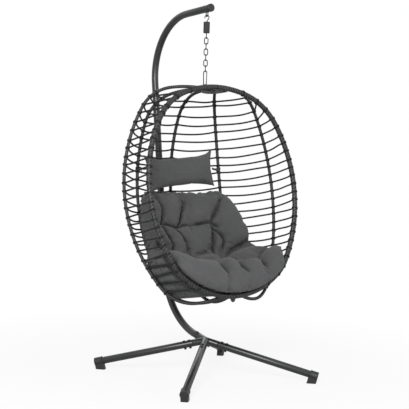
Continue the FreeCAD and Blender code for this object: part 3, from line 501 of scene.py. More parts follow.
def settle(obj, body, slot, replaced=(), angle=38.0, look=None):
    """Puts a finished mesh in the scene: normals, shading, material and body, with the CAD parts it stands
    for hidden.

    The material is the slot's, unless another look is given.
    """
    if obj.name not in bpy.context.scene.collection.objects:
        bpy.context.scene.collection.objects.link(obj)
    mesh = obj.data
    work = bmesh.new()
    work.from_mesh(mesh)
    bmesh.ops.recalc_face_normals(work, faces=work.faces)
    work.to_mesh(mesh)
    work.free()
    mesh.shade_smooth()
    mesh.set_sharp_from_angle(angle=radians(angle))
    mesh.materials.clear()
    mesh.materials.append(look or SLOTS[slot])
    if body:
        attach(obj, body)
    if replaced:
        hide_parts(*replaced)
    return obj


def evaluated(obj):
    """The object's mesh with its modifiers applied."""
    graph = bpy.context.evaluated_depsgraph_get()
    return bpy.data.meshes.new_from_object(obj.evaluated_get(graph))


def melted(name, mesh, voxel, rounds, factor=0.5):
    """One even skin over a mesh, smoothed, with the corners between forms that meet filled like a weld."""
    obj = bpy.data.objects.new(name, mesh)
    bpy.context.scene.collection.objects.link(obj)
    remesh = obj.modifiers.new("skin", "REMESH")
    remesh.mode = "VOXEL"
    remesh.voxel_size = voxel / 1000.0
    soften = obj.modifiers.new("soften", "SMOOTH")
    soften.factor = factor
    soften.iterations = rounds
    obj.data = evaluated(obj)
    obj.modifiers.clear()
    return obj


def coordinates(mesh):
    flat = np.empty(len(mesh.vertices) * 3)
    mesh.vertices.foreach_get("co", flat)
    return flat.reshape(-1, 3)


def vertex_normals(mesh):
    flat = np.empty(len(mesh.vertices) * 3)
    mesh.vertices.foreach_get("normal", flat)
    return flat.reshape(-1, 3)


def move_to(mesh, points):
    mesh.vertices.foreach_set("co", np.asarray(points, float).ravel())
    mesh.update()


def arc(centre, radius, first, last, steps, across, up):
    angles = np.radians(np.linspace(first, last, steps + 1))
    return [centre + across * (radius * cos(a)) + up * (radius * sin(a)) for a in angles]


def eased(points, rounds=2):
    """Cuts the corners of an open line again and again, which leaves it smooth."""
    points = np.asarray(points, float)
    for _ in range(rounds):
        near = points[:-1] * 0.75 + points[1:] * 0.25
        far = points[:-1] * 0.25 + points[1:] * 0.75
        middle = np.stack([near, far], 1).reshape(-1, 3)
        points = np.concatenate([points[:1], middle, points[-1:]])
    return points


# Stand

leg_drop = hub[2] - leg_end_height
leg_tip = hypot(foot_reach, leg_drop) + leg_overrun


def leg_direction(heading):
    return unit(vec(foot_reach * cos(radians(heading)), foot_reach * sin(radians(heading)), -leg_drop))


def leg_normal(heading):
    direction = leg_direction(heading)
    return unit(Z - direction * direction[2])


pole_direction = vec(0, cos(radians(pole_start_rise)), sin(radians(pole_start_rise)))
pole_normal = vec(0, -sin(radians(pole_start_rise)), cos(radians(pole_start_rise)))
leg_start = stub_length + seam_gap
pole_start = hub + pole_direction * (pole_stub_length + seam_gap)


def line_meeting(point, angle, other, other_angle):
    slope, other_slope = tan(radians(angle)), tan(radians(other_angle))
    y = (point[2] - other[2] + other_slope * other[1] - slope * point[1]) / (other_slope - slope)
    return vec(0, y, point[2] + slope * (y - point[1]))


def rounded(before, corner, after, radius, steps=40):
    """Points of the arc that rounds a corner between two straight runs."""
    a, b = unit(before - corner), unit(after - corner)
    half = acos(a @ b) / 2.0
    turn = pi - 2 * half
    centre = corner + unit(a + b) * (radius / sin(half))
    first = unit(corner + a * (radius / tan(half)) - centre)
    last = unit(corner + b * (radius / tan(half)) - centre)
    shares = np.linspace(0.0, turn, steps + 1)
    return [centre + (first * sin(turn - s) + last * sin(s)) * (radius / sin(turn)) for s in shares]


low_corner = line_meeting(hub, pole_start_rise, straight_point, pole_lean)
high_corner = line_meeting(arm_point, -pole_top_rise, straight_point, pole_lean)
pole_tip = arm_point + unit(arm_point - high_corner) * (arm_tip / cos(radians(pole_top_rise)))
straight_direction = unit(high_corner - low_corner)
pole_joint = low_corner + straight_direction * ((pole_joint_height - low_corner[2]) / straight_direction[2])

tube_sides = 48
tube_edge = 0.8
hub_voxel = 1.6
cap_voxel = 1.4
cap_corner = 6.0

arms = [(leg_direction(heading), stub_length) for _, heading in LEGS] + [(pole_direction, pole_stub_length)]
hub_form = Form()
for direction, reach in arms:
    hub_form.bar([hub - direction * 6.0, hub + direction * reach], tube_radius, tube_sides, tube_edge)
hub_form.turned(hub - Z * 15.0, Z, ((0, 8), (0.5, 17), (6, 21), (24, 21), (29.5, 17), (30, 8)))
hub_welded = melted("hub_welded", hub_form.mesh("hub_welded"), hub_voxel, 6)
settle(hub_welded, "stand", "charcoal_tube", ["base_hub"])


def foot_cap(name, heading):
    """A sleeve with a collar round the leg's end, over a block that stands on the floor."""
    direction, normal = leg_direction(heading), leg_normal(heading)
    side = np.cross(normal, direction)
    tip = hub + direction * leg_tip
    face = tip + direction * foot_wall
    outer = tube_radius + foot_wall
    length = foot_grip + foot_wall
    collar = outer + 1.2
    profile = [(0, 14), (0, outer + 0.4), (1, collar), (5, collar), (6.2, outer), (foot_grip, outer)]
    profile += [(length - 2.2, outer), (length - 0.6, outer - 0.8), (length, outer - 2.6), (length, 6)]
    form = Form().turned(tip - direction * foot_grip, direction, profile, 64)
    half = foot_width / 2.0
    corners = []
    for a, b, start in ((half, 0, 0), (half, -foot_length, 90), (-half, -foot_length, 180), (-half, 0, 270)):
        inset = -cap_corner if b == 0 else cap_corner
        pivot = face + side * (a - cap_corner * np.sign(a)) + direction * (b + inset)
        for i in range(6):
            angle = radians(90 - start - 18 * i)
            corners.append(pivot + side * (cap_corner * cos(angle)) + direction * (cap_corner * sin(angle)))
    form.prism(corners, normal * -(leg_end_height + tube_radius))
    obj = melted(name, form.mesh(name), cap_voxel, 5)
    points = coordinates(obj.data)
    points[:, 2] = np.maximum(points[:, 2], 0.0)
    move_to(obj.data, points)
    return settle(obj, "stand", "black_plastic", ["foot_cap_" + name.replace("cap_foot_", "")])


def through_bolt(form, place, normal):
    """A domed bolt through a tube: head, shank, and the thread that shows past the nut."""
    seat = place + normal * (tube_radius + fastener_gap)
    wide, high = bolt_head_radius, bolt_head_height
    form.turned(seat, normal, ((0, 0), (0, wide - 0.2), (0.5, wide), (1.1, wide - 0.6), (1.8, wide - 2.2),
                               (high, wide - 4.6), (high, 2.4), (0.9, 2.1), (0.9, 0)))
    tip = place - normal * (tube_radius + fastener_gap + nut_height + bolt_overrun)
    length = 2 * tube_radius + fastener_gap * 2 + nut_height + bolt_overrun
    thread = [(0, 0), (0, bolt_radius - 0.7)]
    for i in range(8):
        thread += [(0.5 + i, bolt_radius), (1.0 + i, bolt_radius - 0.5)]
    thread += [(length - 0.5, bolt_radius - 0.3), (length, 0)]
    form.turned(tip, normal, thread, 20)


bolts = Form()
for name, heading in LEGS:
    direction = leg_direction(heading)
    ends = [hub + direction * leg_start, hub + direction * leg_tip]
    tube = Form().bar(ends, tube_radius, tube_sides, tube_edge)
    tube.piece("tube_leg_" + name, "stand", "charcoal_tube", ["leg_" + name])
    foot_cap("cap_foot_" + name, heading)
    for offset in leg_bolts:
        through_bolt(bolts, ends[0] + direction * offset, leg_normal(heading))
bolts.piece("bolts_of_legs", "stand", "black_bolts", ["leg_bolts"])
pole_bolt = Form()
through_bolt(pole_bolt, pole_start + pole_direction * pole_bolt_offset, pole_normal)
pole_bolt.piece("bolt_of_pole", "stand", "black_bolts", ["pole_bolt"])

lower_path = [pole_start] + rounded(hub, low_corner, pole_joint, lower_bend) + [pole_joint]
Form().bar(lower_path, tube_radius, tube_sides, tube_edge, X).piece(
    "tube_lower_pole", "stand", "charcoal_tube", ["lower_pole"])
upper_path = [pole_joint + straight_direction * 0.6]
upper_path += rounded(pole_joint, high_corner, pole_tip, upper_bend) + [pole_tip]
Form().bar(upper_path, tube_radius, tube_sides, tube_edge, X).piece(
    "tube_upper_pole", "stand", "charcoal_tube", ["upper_pole"])
cap_out = unit(pole_tip - high_corner)
cap_radius = tube_radius + cap_wall
cap_length = cap_skirt + cap_face
profile = [(0, 15), (0, cap_radius - 0.5), (0.6, cap_radius), (cap_skirt + 1, cap_radius)]
profile += [(cap_length - 2.4, cap_radius - 0.6), (cap_length - 0.8, cap_radius - 2.2)]
profile += [(cap_length, cap_radius - 5.0), (cap_length, 0)]
Form().turned(pole_tip - cap_out * cap_skirt, cap_out, profile).piece(
    "cap_of_arm", "stand", "black_plastic", ["arm_cap"])


weld_bead = 2.0
weld_width = 2.4


def welded(points, surface, wire):
    """Radii of a bent bar that swells where it meets the surface it is welded to."""
    away = np.abs([surface(point) for point in points])
    return wire + weld_bead * np.exp(-(away / weld_width) ** 2)


eye_centre = arm_point + Z * (eye_bend - eye_drop)
eye_points = [arm_point + vec(0, -eye_bend, z) for z in np.linspace(0, eye_centre[2] - arm_point[2], 26)]
eye_points += arc(eye_centre, eye_bend, 180, 360, 28, Y, Z)[1:-1]
eye_points += [arm_point + vec(0, eye_bend, z) for z in np.linspace(eye_centre[2] - arm_point[2], 0, 26)]
eye_radii = welded(eye_points, lambda p: p[2] - arm_point[2] + tube_radius, eye_wire)
Form().tube(eye_points, eye_radii, 20, X).piece(
    "loop_hanging_eye", "stand", "charcoal_eye", ["hanging_eye"])


# Spring, chain and snap hook

FACE = vec(cos(hardware_turn), -sin(hardware_turn), 0)
EDGE = vec(sin(hardware_turn), cos(hardware_turn), 0)


def hang_point(height):
    return vec(0, hang_y, height)


eye_bottom = arm_point[2] - eye_drop
upper_hook_top = eye_bottom + eye_wire + eye_play + hook_wire
upper_hook_centre = upper_hook_top - hook_bend
sleeve_top = upper_hook_centre - hook_bend - sleeve_drop
sleeve_bottom = sleeve_top - sleeve_length
upper_plug = sleeve_top - plug_inset
lower_plug = sleeve_bottom + lower_plug_inset
lower_hook_bottom = sleeve_bottom - lower_hook_stem - 2 * lower_hook_bend
wire_sides = 18
wire_edge = 0.8


def disc(radius, height, edge):
    """(along, radius) pairs of a disc with broken edges."""
    inner = radius - edge
    return [(0, 0), (0, inner), (edge, radius), (height - edge, radius), (height, inner), (height, 0)]


def plug(form, low):
    return form.turned(hang_point(low), Z, disc(plug_radius, plug_thickness, 0.6))


hook = arc(hang_point(upper_hook_centre), hook_bend, hook_open, hook_turn_down, 36, FACE, Z)
hook += [hang_point(h) for h in (sleeve_top + 1.5, sleeve_top - 2, upper_plug - plug_thickness / 2.0)]
plug(Form().bar(eased(hook), hook_wire, wire_sides, wire_edge, EDGE), upper_plug - plug_thickness).piece(
    "hook_upper", "spring_top", "dark_hardware", ["spring_upper_hook"])
hook = [hang_point(lower_plug + plug_thickness / 2.0), hang_point(sleeve_bottom - lower_hook_stem / 2.0 + 2)]
hook_centre = hang_point(lower_hook_bottom + lower_hook_bend)
hook += arc(hook_centre, lower_hook_bend, lower_hook_turn, lower_hook_open, 36, EDGE, Z)
plug(Form().bar(eased(hook), hook_wire, wire_sides, wire_edge, FACE), lower_plug).piece(
    "hook_lower", "spring_bottom", "dark_hardware", ["spring_lower_hook"])

sleeve_sides = sleeve_ribs * 12
angle = 2 * pi * np.arange(sleeve_sides) / sleeve_sides
ribbed = sleeve_bore + sleeve_wall + sleeve_rib_depth * (0.5 + 0.5 * np.cos(sleeve_ribs * angle)) ** 0.7
circle = np.stack([np.cos(angle), np.sin(angle), 0 * angle], 1)
# (height, share of the wall's thickness)
sleeve_profile = ((0, 0.0), (0, 0.75), (0.7, 0.93), (2.0, 1.0), (4.0, 1.0), (55.0, 1.0), (57.0, 1.0),
                  (58.3, 0.93), (sleeve_length, 0.75), (sleeve_length, 0.0), (40.0, 0.0), (20.0, 0.0))
sleeve_rings = []
for height, share in sleeve_profile:
    radius = sleeve_bore + (ribbed - sleeve_bore) * share
    sleeve_rings.append(hang_point(sleeve_bottom + height) + circle * radius[:, None])
Form().rings(sleeve_rings, around=True).piece(
    "sleeve_ribbed", "spring_top", "black_rubber", ["spring_sleeve"])

coil_top = upper_plug - plug_thickness - coil_seat
coil_bottom = lower_plug + plug_thickness + coil_seat
turns = np.linspace(0, coil_turns, coil_turns * 36 + 1)
coil_points = [hang_point(coil_bottom + (coil_top - coil_bottom) * t / coil_turns)
               + vec(cos(2 * pi * t), sin(2 * pi * t), 0) * coil_radius for t in turns]
coil = Form().bar(coil_points, coil_wire, 12, 0.5).piece(
    "coil_of_spring", None, "dark_hardware", ["spring_coil"])
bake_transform(coil)

link_pitch = link_inner_length - link_play
link_bend = link_outer_width / 2.0 - link_wire
link_straight = link_inner_length / 2.0 + link_wire - link_bend
first_link = lower_hook_bottom + hook_wire + link_play - link_inner_length / 2.0
for index in range(link_count):
    across, normal = (FACE, EDGE) if index % 2 == 0 else (EDGE, FACE)
    middle = hang_point(first_link - index * link_pitch)
    points = arc(middle + Z * link_straight, link_bend, 0, 180, 22, across, Z)
    points += arc(middle - Z * link_straight, link_bend, 180, 360, 22, across, Z)
    Form().tube(points, link_wire, 16, normal, around=True).piece(
        "link_%d" % (index + 1), "chain", "dark_hardware", ["chain_link_%d" % (index + 1)])

last_link_bottom = first_link - (link_count - 1) * link_pitch - link_inner_length / 2.0
snap_top = last_link_bottom + link_play + snap_wire
snap_bottom = snap_top - snap_length
snap_top_centre = snap_top - snap_top_bend
snap_bottom_centre = snap_bottom + snap_bottom_bend
snap_lean = asin((snap_top_bend - snap_bottom_bend) / (snap_top_centre - snap_bottom_centre))


def snap_side(height):
    start = hang_point(snap_bottom_centre) + FACE * (snap_bottom_bend * cos(snap_lean))
    start -= Z * (snap_bottom_bend * sin(snap_lean))
    return start + (FACE * sin(snap_lean) + Z * cos(snap_lean)) * height


gate_pivot = snap_side(gate_low)
gate_tip = snap_side(gate_high)
gate_along = unit(gate_tip - gate_pivot)
gate_across = np.cross(gate_along, EDGE)
strap_half = gate_across * 1.6
lean = np.degrees(snap_lean)
hook = [snap_side(gate_high + gate_gap)]
hook += arc(hang_point(snap_top_centre), snap_top_bend, -lean, 180 + lean, 30, FACE, Z)
hook += arc(hang_point(snap_bottom_centre), snap_bottom_bend, 180 + lean, 360 - lean, 28, FACE, Z)
hook += [snap_side(gate_low - gate_boss_radius - gate_gap)]
snap = Form().bar(hook, snap_wire, wire_sides, 0.6, EDGE)
for side in (LEFT, RIGHT):
    inner = EDGE * (side * (gate_boss_width / 2.0 + cheek_gap))
    profile = [(0, 0), (0, cheek_radius - 0.1), (0.2, cheek_radius), (cheek_width - 0.3, cheek_radius)]
    profile += [(cheek_width, cheek_radius - 0.4), (cheek_width, 0)]
    snap.turned(gate_pivot + inner, EDGE * side, profile, 28)
    foot = gate_pivot - gate_along * strap_length + inner
    head = gate_pivot + inner
    strap = [foot - strap_half, foot + strap_half, head + strap_half, head - strap_half]
    snap.prism(strap, EDGE * (side * cheek_width))
snap.piece("snap_body", "snap", "dark_hardware", ["snap_hook"])
neck = gate_pivot - EDGE * (gate_boss_width / 2.0)
gate = Form().turned(neck, EDGE, disc(gate_boss_radius, gate_boss_width, 0.2), 28)
bar_start = gate_pivot + gate_along * (cheek_radius + gate_gap)
gate.bar([bar_start, gate_tip], gate_wire, wire_sides, 0.5)
low, high = neck - strap_half, neck + strap_half
neck_run = gate_along * 6.0
neck_outline = [low, high, high + neck_run, low + neck_run]
gate.prism(neck_outline, EDGE * gate_boss_width)
gate.piece("gate_bar", "gate", "dark_hardware", ["snap_gate"])
pin_half = gate_boss_width / 2.0 + cheek_gap + cheek_width + 0.3
pin_length = 2 * pin_half
profile = [(0, 0), (0, 0.8), (0.3, pin_radius + 0.5), (0.3, pin_radius), (pin_length - 0.3, pin_radius)]
profile += [(pin_length - 0.3, pin_radius + 0.5), (pin_length, 0.8), (pin_length, 0)]
Form().turned(gate_pivot - EDGE * pin_half, EDGE, profile, 20).piece(
    "pin_of_gate", "snap", "black_bolts", ["gate_pin"])


# Basket hoops

class Quarter:
    """Three tangent arcs from an apex of the egg to its widest point, drawn as (distance, height)."""

    def __init__(self, apex, height, crown, shoulder, flank, reach, end):
        self.end = end
        top = (apex, end * height - crown)
        side = (reach - flank, end * waist_height)
        dx, dh = side[0] - top[0], side[1] - top[1]
        span = hypot(dx, dh)
        near, far = crown - shoulder, flank - shoulder
        along = (near * near - far * far + span * span) / (2 * span)
        off = sqrt(near * near - along * along)
        turn = 1 if dx < 0 else -1
        middle = (top[0] + (dx * along + turn * dh * off) / span,
                  top[1] + (dh * along - turn * dx * off) / span)
        upper = atan2(middle[1] - top[1], middle[0] - top[0])
        lower = atan2(middle[1] - side[1], middle[0] - side[0])
        self.arcs = ((top, crown, pi / 2, upper), (middle, shoulder, upper, lower), (side, flank, lower, 0.0))

    def line(self, start, step):
        """(distance, height) pairs along the arcs, evenly spaced, from the apex outwards."""
        spots = []
        for centre, radius, first, last in self.arcs:
            if not spots:
                first = acos((start - centre[0]) / radius)
            count = max(2, int(radius * abs(last - first) / 0.5))
            for angle in np.linspace(first, last, count + 1)[1 if spots else 0:]:
                spots.append((centre[0] + radius * cos(angle), self.end * (centre[1] + radius * sin(angle))))
        return respaced(np.array(spots), step)


def respaced(line, step):
    """The same line with evenly spaced points."""
    runs = np.concatenate([[0.0], np.cumsum(np.linalg.norm(np.diff(line, axis=0), axis=1))])
    places = np.linspace(0.0, runs[-1], max(2, int(round(runs[-1] / step)) + 1))
    return np.stack([np.interp(places, runs, line[:, i]) for i in range(line.shape[1])], 1)


class Hoop:
    """One half of the rim, or a rib, in an upright plane of the egg."""

    def __init__(self, angle, radius, start, upper, lower):
        self.angle, self.radius, self.start, self.upper, self.lower = angle, radius, start, upper, lower
        above, below = upper.line(start, 2.0), lower.line(start, 2.0)
        outer = np.concatenate([below[below[:, 1] < waist_height], above[above[:, 1] >= waist_height][::-1]])
        self.heights = outer[:, 1]
        self.distances = outer[:, 0]
        slope = np.gradient(self.heights) / np.hypot(np.gradient(self.heights), np.gradient(self.distances))
        self.steepness = np.clip(np.abs(slope), 0.05, 1.0)

    def heading(self, side):
        return radians(self.angle) if side == RIGHT else radians(180.0 - self.angle)

    def outward(self, side):
        return vec(cos(self.heading(side)), sin(self.heading(side)), 0)

    def path(self, side, step):
        above, below = self.upper.line(self.start, step), self.lower.line(self.start, step)
        line = respaced(np.concatenate([above[:-1], below[::-1]]), step)
        return line[:, :1] * self.outward(side) + line[:, 1:] * Z

    def point(self, side, height):
        return self.outward(side) * np.interp(height, self.heights, self.distances) + Z * height

    def tangent(self, side, height):
        return unit(self.point(side, height + 2.0) - self.point(side, height - 2.0))


rim_apex = {UPPER: 542.0, LOWER: -549.0}
rim_bend = {UPPER: 593.0, LOWER: 478.0}
plate_reach = 34.0


def rim_sag(end, run):
    return rim_bend[end] - sqrt(rim_bend[end] ** 2 - run * run)


def rib_foot(end):
    """Height of a rib's axis where its end lies on the joining plate."""
    plate = rim_apex[end] - end * (rim_radius + rim_sag(end, plate_reach) + 0.5 + 0.05)
    return plate + end * (0.05 + rib_radius * cos(pi / 6))


def rib(angle, start, reach, shoulder, flank):
    rise = rib_crown - rib_foot(UPPER)
    drop = rib_foot(LOWER) - rib_keel
    top_apex = start + sqrt(rise * (2 * rib_crown_bend - rise))
    low_apex = start + sqrt(drop * (2 * rib_keel_bend - drop))
    return Hoop(angle, rib_radius, start,
                Quarter(top_apex, rib_crown, rib_crown_bend, shoulder, flank, reach, UPPER),
                Quarter(low_apex, rib_keel, rib_keel_bend, shoulder, flank, reach, LOWER))


rim = Hoop(0.0, rim_radius, rim_seam,
           Quarter(0.0, rim_apex[UPPER], rim_bend[UPPER], 333.0, 730.0, 465.0, UPPER),
           Quarter(0.0, rim_apex[LOWER], rim_bend[LOWER], 238.0, 735.0, 465.0, LOWER))
side_rib = rib(23.5, 54.0, 526.0, 205.0, 860.0)
back_rib = rib(56.5, 33.0, 499.0, 215.0, 1100.0)
centre_rib = rib(90.0, 33.0, 508.0, 225.0, 800.0)
HOOPS = (rim, side_rib, back_rib, centre_rib)

lean_cos, lean_sin = cos(basket_lean), sin(basket_lean)
lean_turn = np.array(((1, 0, 0), (0, lean_cos, lean_sin), (0, -lean_sin, lean_cos)))
eye_top = snap_bottom + snap_wire + eye_play + basket_eye_wire
crown_centre = centre_rib.upper.arcs[0][0]
eye_run = basket_eye_v - crown_centre[0]
eye_h = crown_centre[1] + sqrt(rib_crown_bend ** 2 - eye_run ** 2) + basket_eye_rise
eye_in_egg = vec(0, basket_eye_v, eye_h)
basket_centre = hang_point(eye_top) - lean_turn @ eye_in_egg


def in_basket(points):
    return np.asarray(points, float) @ lean_turn.T + basket_centre


def in_egg(points):
    return (np.asarray(points, float) - basket_centre) @ lean_turn


rim_pitch, rib_pitch = 17.0, 12.0
rim_slant, rib_slant = 1.5, 1.1     # strips passed between the front and the back of a bar
wrap_relief = 1.7


def wound(form, path, radius, pitch, slant, sides, hint):
    """A bar covered with plaited strip, whose edges dip where they meet; its UV counts strips."""
    runs = np.concatenate([[0.0], np.cumsum(np.linalg.norm(np.diff(path, axis=0), axis=1))])
    lag = slant * np.abs(2.0 * np.arange(sides + 1) / sides - 1.0)
    phase = (runs[:, None] / pitch - lag[None, :-1]) % 1.0
    crown = np.clip(np.minimum(phase, 1.0 - phase) / 0.2, 0.0, 1.0)
    wander = 0.18 * np.sin(runs / 37.0)[:, None] + 0.15 * np.sin(runs / 11.3 + 2.0)[:, None]
    form.tube(path, radius + 0.15 - wrap_relief * (1 - crown) ** 1.5 + wander * 0.5, sides, hint)
    step = runs[-1] / (len(path) - 1) / pitch
    for index in range((len(path) - 1) * sides):
        ring, place = divmod(index, sides)
        u0, u1, v0, v1 = ring * step, (ring + 1) * step, lag[place], lag[place + 1]
        form.uvs[index] = ((u0, v0), (u0, v1), (u1, v1), (u1, v0))
    return form


for name, side in SIDES:
    path = in_basket(rim.path(side, rim_pitch / 8))
    wound(Form(), path, rim_radius + 1.2, rim_pitch, rim_slant, 32, lean_turn @ Y).piece(
        "rim_wound_" + name, "basket", "rattan_frame", ["rim_" + name], 60.0)
RIBS = (("side_rib_left", side_rib, LEFT), ("side_rib_right", side_rib, RIGHT),
        ("back_rib_left", back_rib, LEFT), ("back_rib_right", back_rib, RIGHT),
        ("centre_rib", centre_rib, RIGHT))
for name, hoop, side in RIBS:
    path = in_basket(hoop.path(side, rib_pitch / 6))
    wound(Form(), path, rib_radius + 0.6, rib_pitch, rib_slant, 20, lean_turn @ hoop.outward(side)).piece(
        name + "_wound", "basket", "rattan_frame", [name], 60.0)

loop_centre = hang_point(eye_top - basket_eye_bend)
foot_depth = basket_eye_rise - basket_eye_bend
loop = [loop_centre + vec(0, basket_eye_bend, -z) for z in np.linspace(foot_depth, 0, 26)]
loop += arc(loop_centre, basket_eye_bend, 0, 180, 28, Y, Z)[1:-1]
loop += [loop_centre + vec(0, -basket_eye_bend, -z) for z in np.linspace(0, foot_depth, 26)]


def over_rib(point):
    """Height over the centre rib's surface."""
    egg = in_egg(point)
    return hypot(egg[1] - crown_centre[0], egg[2] - crown_centre[1]) - rib_crown_bend - rib_radius


Form().tube(loop, welded(loop, over_rib, basket_eye_wire), 20, X).piece(
    "loop_basket_eye", "basket", "charcoal_eye", ["basket_eye"])


# Weave: strands that sag a little between the hoops, and a knot of almost two turns at every hoop

BAYS = (("front", rim, side_rib), ("side", side_rib, back_rib), ("back", back_rib, centre_rib))
strand_random = random.Random(7)
knot_radius = 2.8
knot_turns = 1.8
rim_knot_rise = 12.0
crown_rows = (528.0, 543.0)  # short rows over the ones of the CAD source
row_drift = 5.0
strand_swell = 1.3
knot_sink = 0.7              # how deep a knot and a strand's end lie in the strip of a hoop
strand_sink = 1.0
sag_range = (0.012, 0.040)   # shares of the span
bow_range = (0.008, 0.02)
rim_slack = 0.35


def row_height(row):
    return lowest_row + row * strand_pitch if row < strand_rows else crown_rows[int(row) - strand_rows]


drift = {}
for hoop in HOOPS:
    for _, side in SIDES:
        key_side = RIGHT if hoop is centre_rib else side
        for row in range(strand_rows + len(crown_rows)):
            moved = strand_random.uniform(-row_drift, row_drift) * (row < strand_rows)
            drift.setdefault((hoop.angle, key_side, row), moved)


def knot_height(hoop, side, row):
    rise = rim_knot_rise if hoop is rim else 0.0
    return row_height(row) + rise + drift[(hoop.angle, RIGHT if hoop is centre_rib else side, row)]


def knot(form, hoop, side, row):
    """A few turns of the strand round a hoop."""
    height = knot_height(hoop, side, row)
    middle, tangent = hoop.point(side, height), hoop.tangent(side, height)
    square = unit(np.cross(hoop.outward(side), Z))
    other = np.cross(tangent, square)
    reach = hoop.radius + knot_radius - knot_sink
    start = strand_random.uniform(0, 2 * pi)
    share = np.linspace(0.0, 1.0, 27)
    angles = start + 2 * pi * knot_turns * share
    along = (share - 0.5) * 2 * knot_radius * knot_turns
    squeeze = 1.0 - 0.35 * np.clip((np.abs(share - 0.5) - 0.42) / 0.08, 0, 1)
    points = []
    for a, t, q in zip(along, angles, squeeze):
        out = reach * q if q > 0.99 else reach - 2.0 * (1 - q)
        points.append(middle + tangent * a + (square * cos(t) + other * sin(t)) * out)
    form.bar(in_basket(points), knot_radius, 8, 0.9, lean_turn @ tangent)


def strand(form, first, second, side, row):
    """One strand from knot to knot, sagging under its own weight and bowed outwards a little."""
    a = first.point(side, knot_height(first, side, row))
    b = second.point(side, knot_height(second, side, row))
    span = np.linalg.norm(b - a)
    direction = (b - a) / span
    a = a + direction * (first.radius - strand_sink)
    b = b - direction * (second.radius - strand_sink)
    outwards = unit(np.array(((a + b)[0], (a + b)[1], 0)))
    slack = rim_slack if first is rim else 1.0
    sag = span * slack * strand_random.uniform(*sag_range)
    bow = span * strand_random.uniform(*bow_range)
    lopsided = strand_random.uniform(-0.25, 0.25)
    wave = strand_random.uniform(-1.6, 1.6)
    share = np.linspace(0.0, 1.0, 23)
    hang = 4 * share * (1 - share) * (1 + lopsided * (2 * share - 1))
    ripple = np.sin(2 * pi * share) * wave
    points = a + (b - a) * share[:, None] + Z * (ripple - sag * hang)[:, None]
    points += outwards * (bow * hang)[:, None]
    form.bar(in_basket(points), strand_radius + strand_swell, 10, 0.6)


for bay, first, second in BAYS:
    for name, side in SIDES:
        form = Form()
        for row in range(strand_rows + (0 if bay == "front" else len(crown_rows))):
            strand(form, first, second, side, row)
            knot(form, first, side, row)
            if bay == "back" and side == RIGHT:
                knot(form, second, side, row)
        form.piece("strands_%s_%s" % (bay, name), "basket", "rattan_strand",
                   ["weave_%s_%s" % (bay, name)], 50.0)


# Soft pieces

rim_low = rim.lower.line(rim_seam, 2.0)
rim_low_x, rim_low_h = rim_low[:, 0], rim_low[:, 1]
rim_low_slope = np.abs(np.gradient(rim_low_h) / np.hypot(np.gradient(rim_low_x), np.gradient(rim_low_h)))
rim_low_cos = np.sqrt(np.clip(1.0 - rim_low_slope ** 2, 0.02, 1.0))
rim_clear = rim_radius + 2 * cushion_gap


def over_rim(x):
    """Height at which cloth lies on the lower half of the rim."""
    return np.interp(x, rim_low_x, rim_low_h + rim_clear / rim_low_cos)


def has_room(points):
    """True for points of the egg's frame that are inside hoops and strands, and over the rim."""
    x, v, h = np.abs(points[:, 0]), points[:, 1], points[:, 2]
    room = (v > roll_seat) | (h > over_rim(x))
    spots = []
    for hoop in HOOPS:
        reach = np.interp(h, hoop.heights, hoop.distances)
        steep = np.interp(h, hoop.heights, hoop.steepness)
        spots.append((reach * cos(radians(hoop.angle)), reach * sin(radians(hoop.angle)), steep))
    inside_rim = (spots[0][0] - x) * spots[0][2] > rim_clear
    for hoop, (x0, v0, steep) in zip(HOOPS, spots):
        clear = np.hypot(x - x0, v - v0) * steep > hoop.radius + cushion_gap
        room &= clear | ((v < 0) & inside_rim)
    for (x0, v0, steep), (x1, v1, _) in zip(spots, spots[1:]):
        inside = ((v0 - v) * (x0 - x1) - (x0 - x) * (v0 - v1)) / np.hypot(x1 - x0, v1 - v0)
        room &= (inside * steep > strand_radius + cushion_gap) | (v < 0)
    return room & (inside_rim | (v >= 0))


def inflated(obj, pins, pressure, growth, last_frame=20):
    """Where the points of a closed mesh go when it is blown up as cloth, with some of them held."""
    group = obj.vertex_groups.new(name="held")
    for level in np.unique(np.round(pins[pins > 0], 2)):
        group.add(np.nonzero(np.round(pins, 2) == level)[0].tolist(), float(level), "REPLACE")
    swell = obj.modifiers.new("swell", "CLOTH")
    settings = swell.settings
    settings.quality = 5
    settings.mass = 0.3
    settings.use_pressure = True
    settings.uniform_pressure_force = pressure
    settings.tension_stiffness = settings.compression_stiffness = 12.0
    settings.shear_stiffness = 6.0
    settings.bending_stiffness = 0.25
    settings.tension_damping = settings.compression_damping = 8.0
    settings.shrink_min = -growth
    settings.vertex_group_mass = "held"
    settings.pin_stiffness = 5.0
    settings.effector_weights.gravity = 0.0
    swell.collision_settings.use_collision = False
    swell.point_cache.frame_start = 1
    swell.point_cache.frame_end = last_frame
    for number in range(1, last_frame + 1):
        bpy.context.scene.frame_set(number)
    mesh = evaluated(obj)
    points = coordinates(mesh)
    obj.modifiers.clear()
    obj.vertex_groups.clear()
    bpy.data.meshes.remove(mesh)
    bpy.context.scene.frame_set(1)
    return points


def subdivided(obj):
    modifier = obj.modifiers.new("fine", "SUBSURF")
    modifier.levels = 1
    modifier.render_levels = 1
    obj.data = evaluated(obj)
    obj.modifiers.clear()


def neighbours_mean(mesh, points, rounds, share):
    """Points drawn towards the mean of their neighbours."""
    edges = np.empty(len(mesh.edges) * 2, int)
    mesh.edges.foreach_get("vertices", edges)
    edges = edges.reshape(-1, 2)
    count = np.bincount(edges.ravel(), minlength=len(points))[:, None]
    for _ in range(rounds):
        total = np.zeros_like(points)
        np.add.at(total, edges[:, 0], points[edges[:, 1]])
        np.add.at(total, edges[:, 1], points[edges[:, 0]])
        points = points + (total / np.maximum(count, 1) - points) * share
    return points


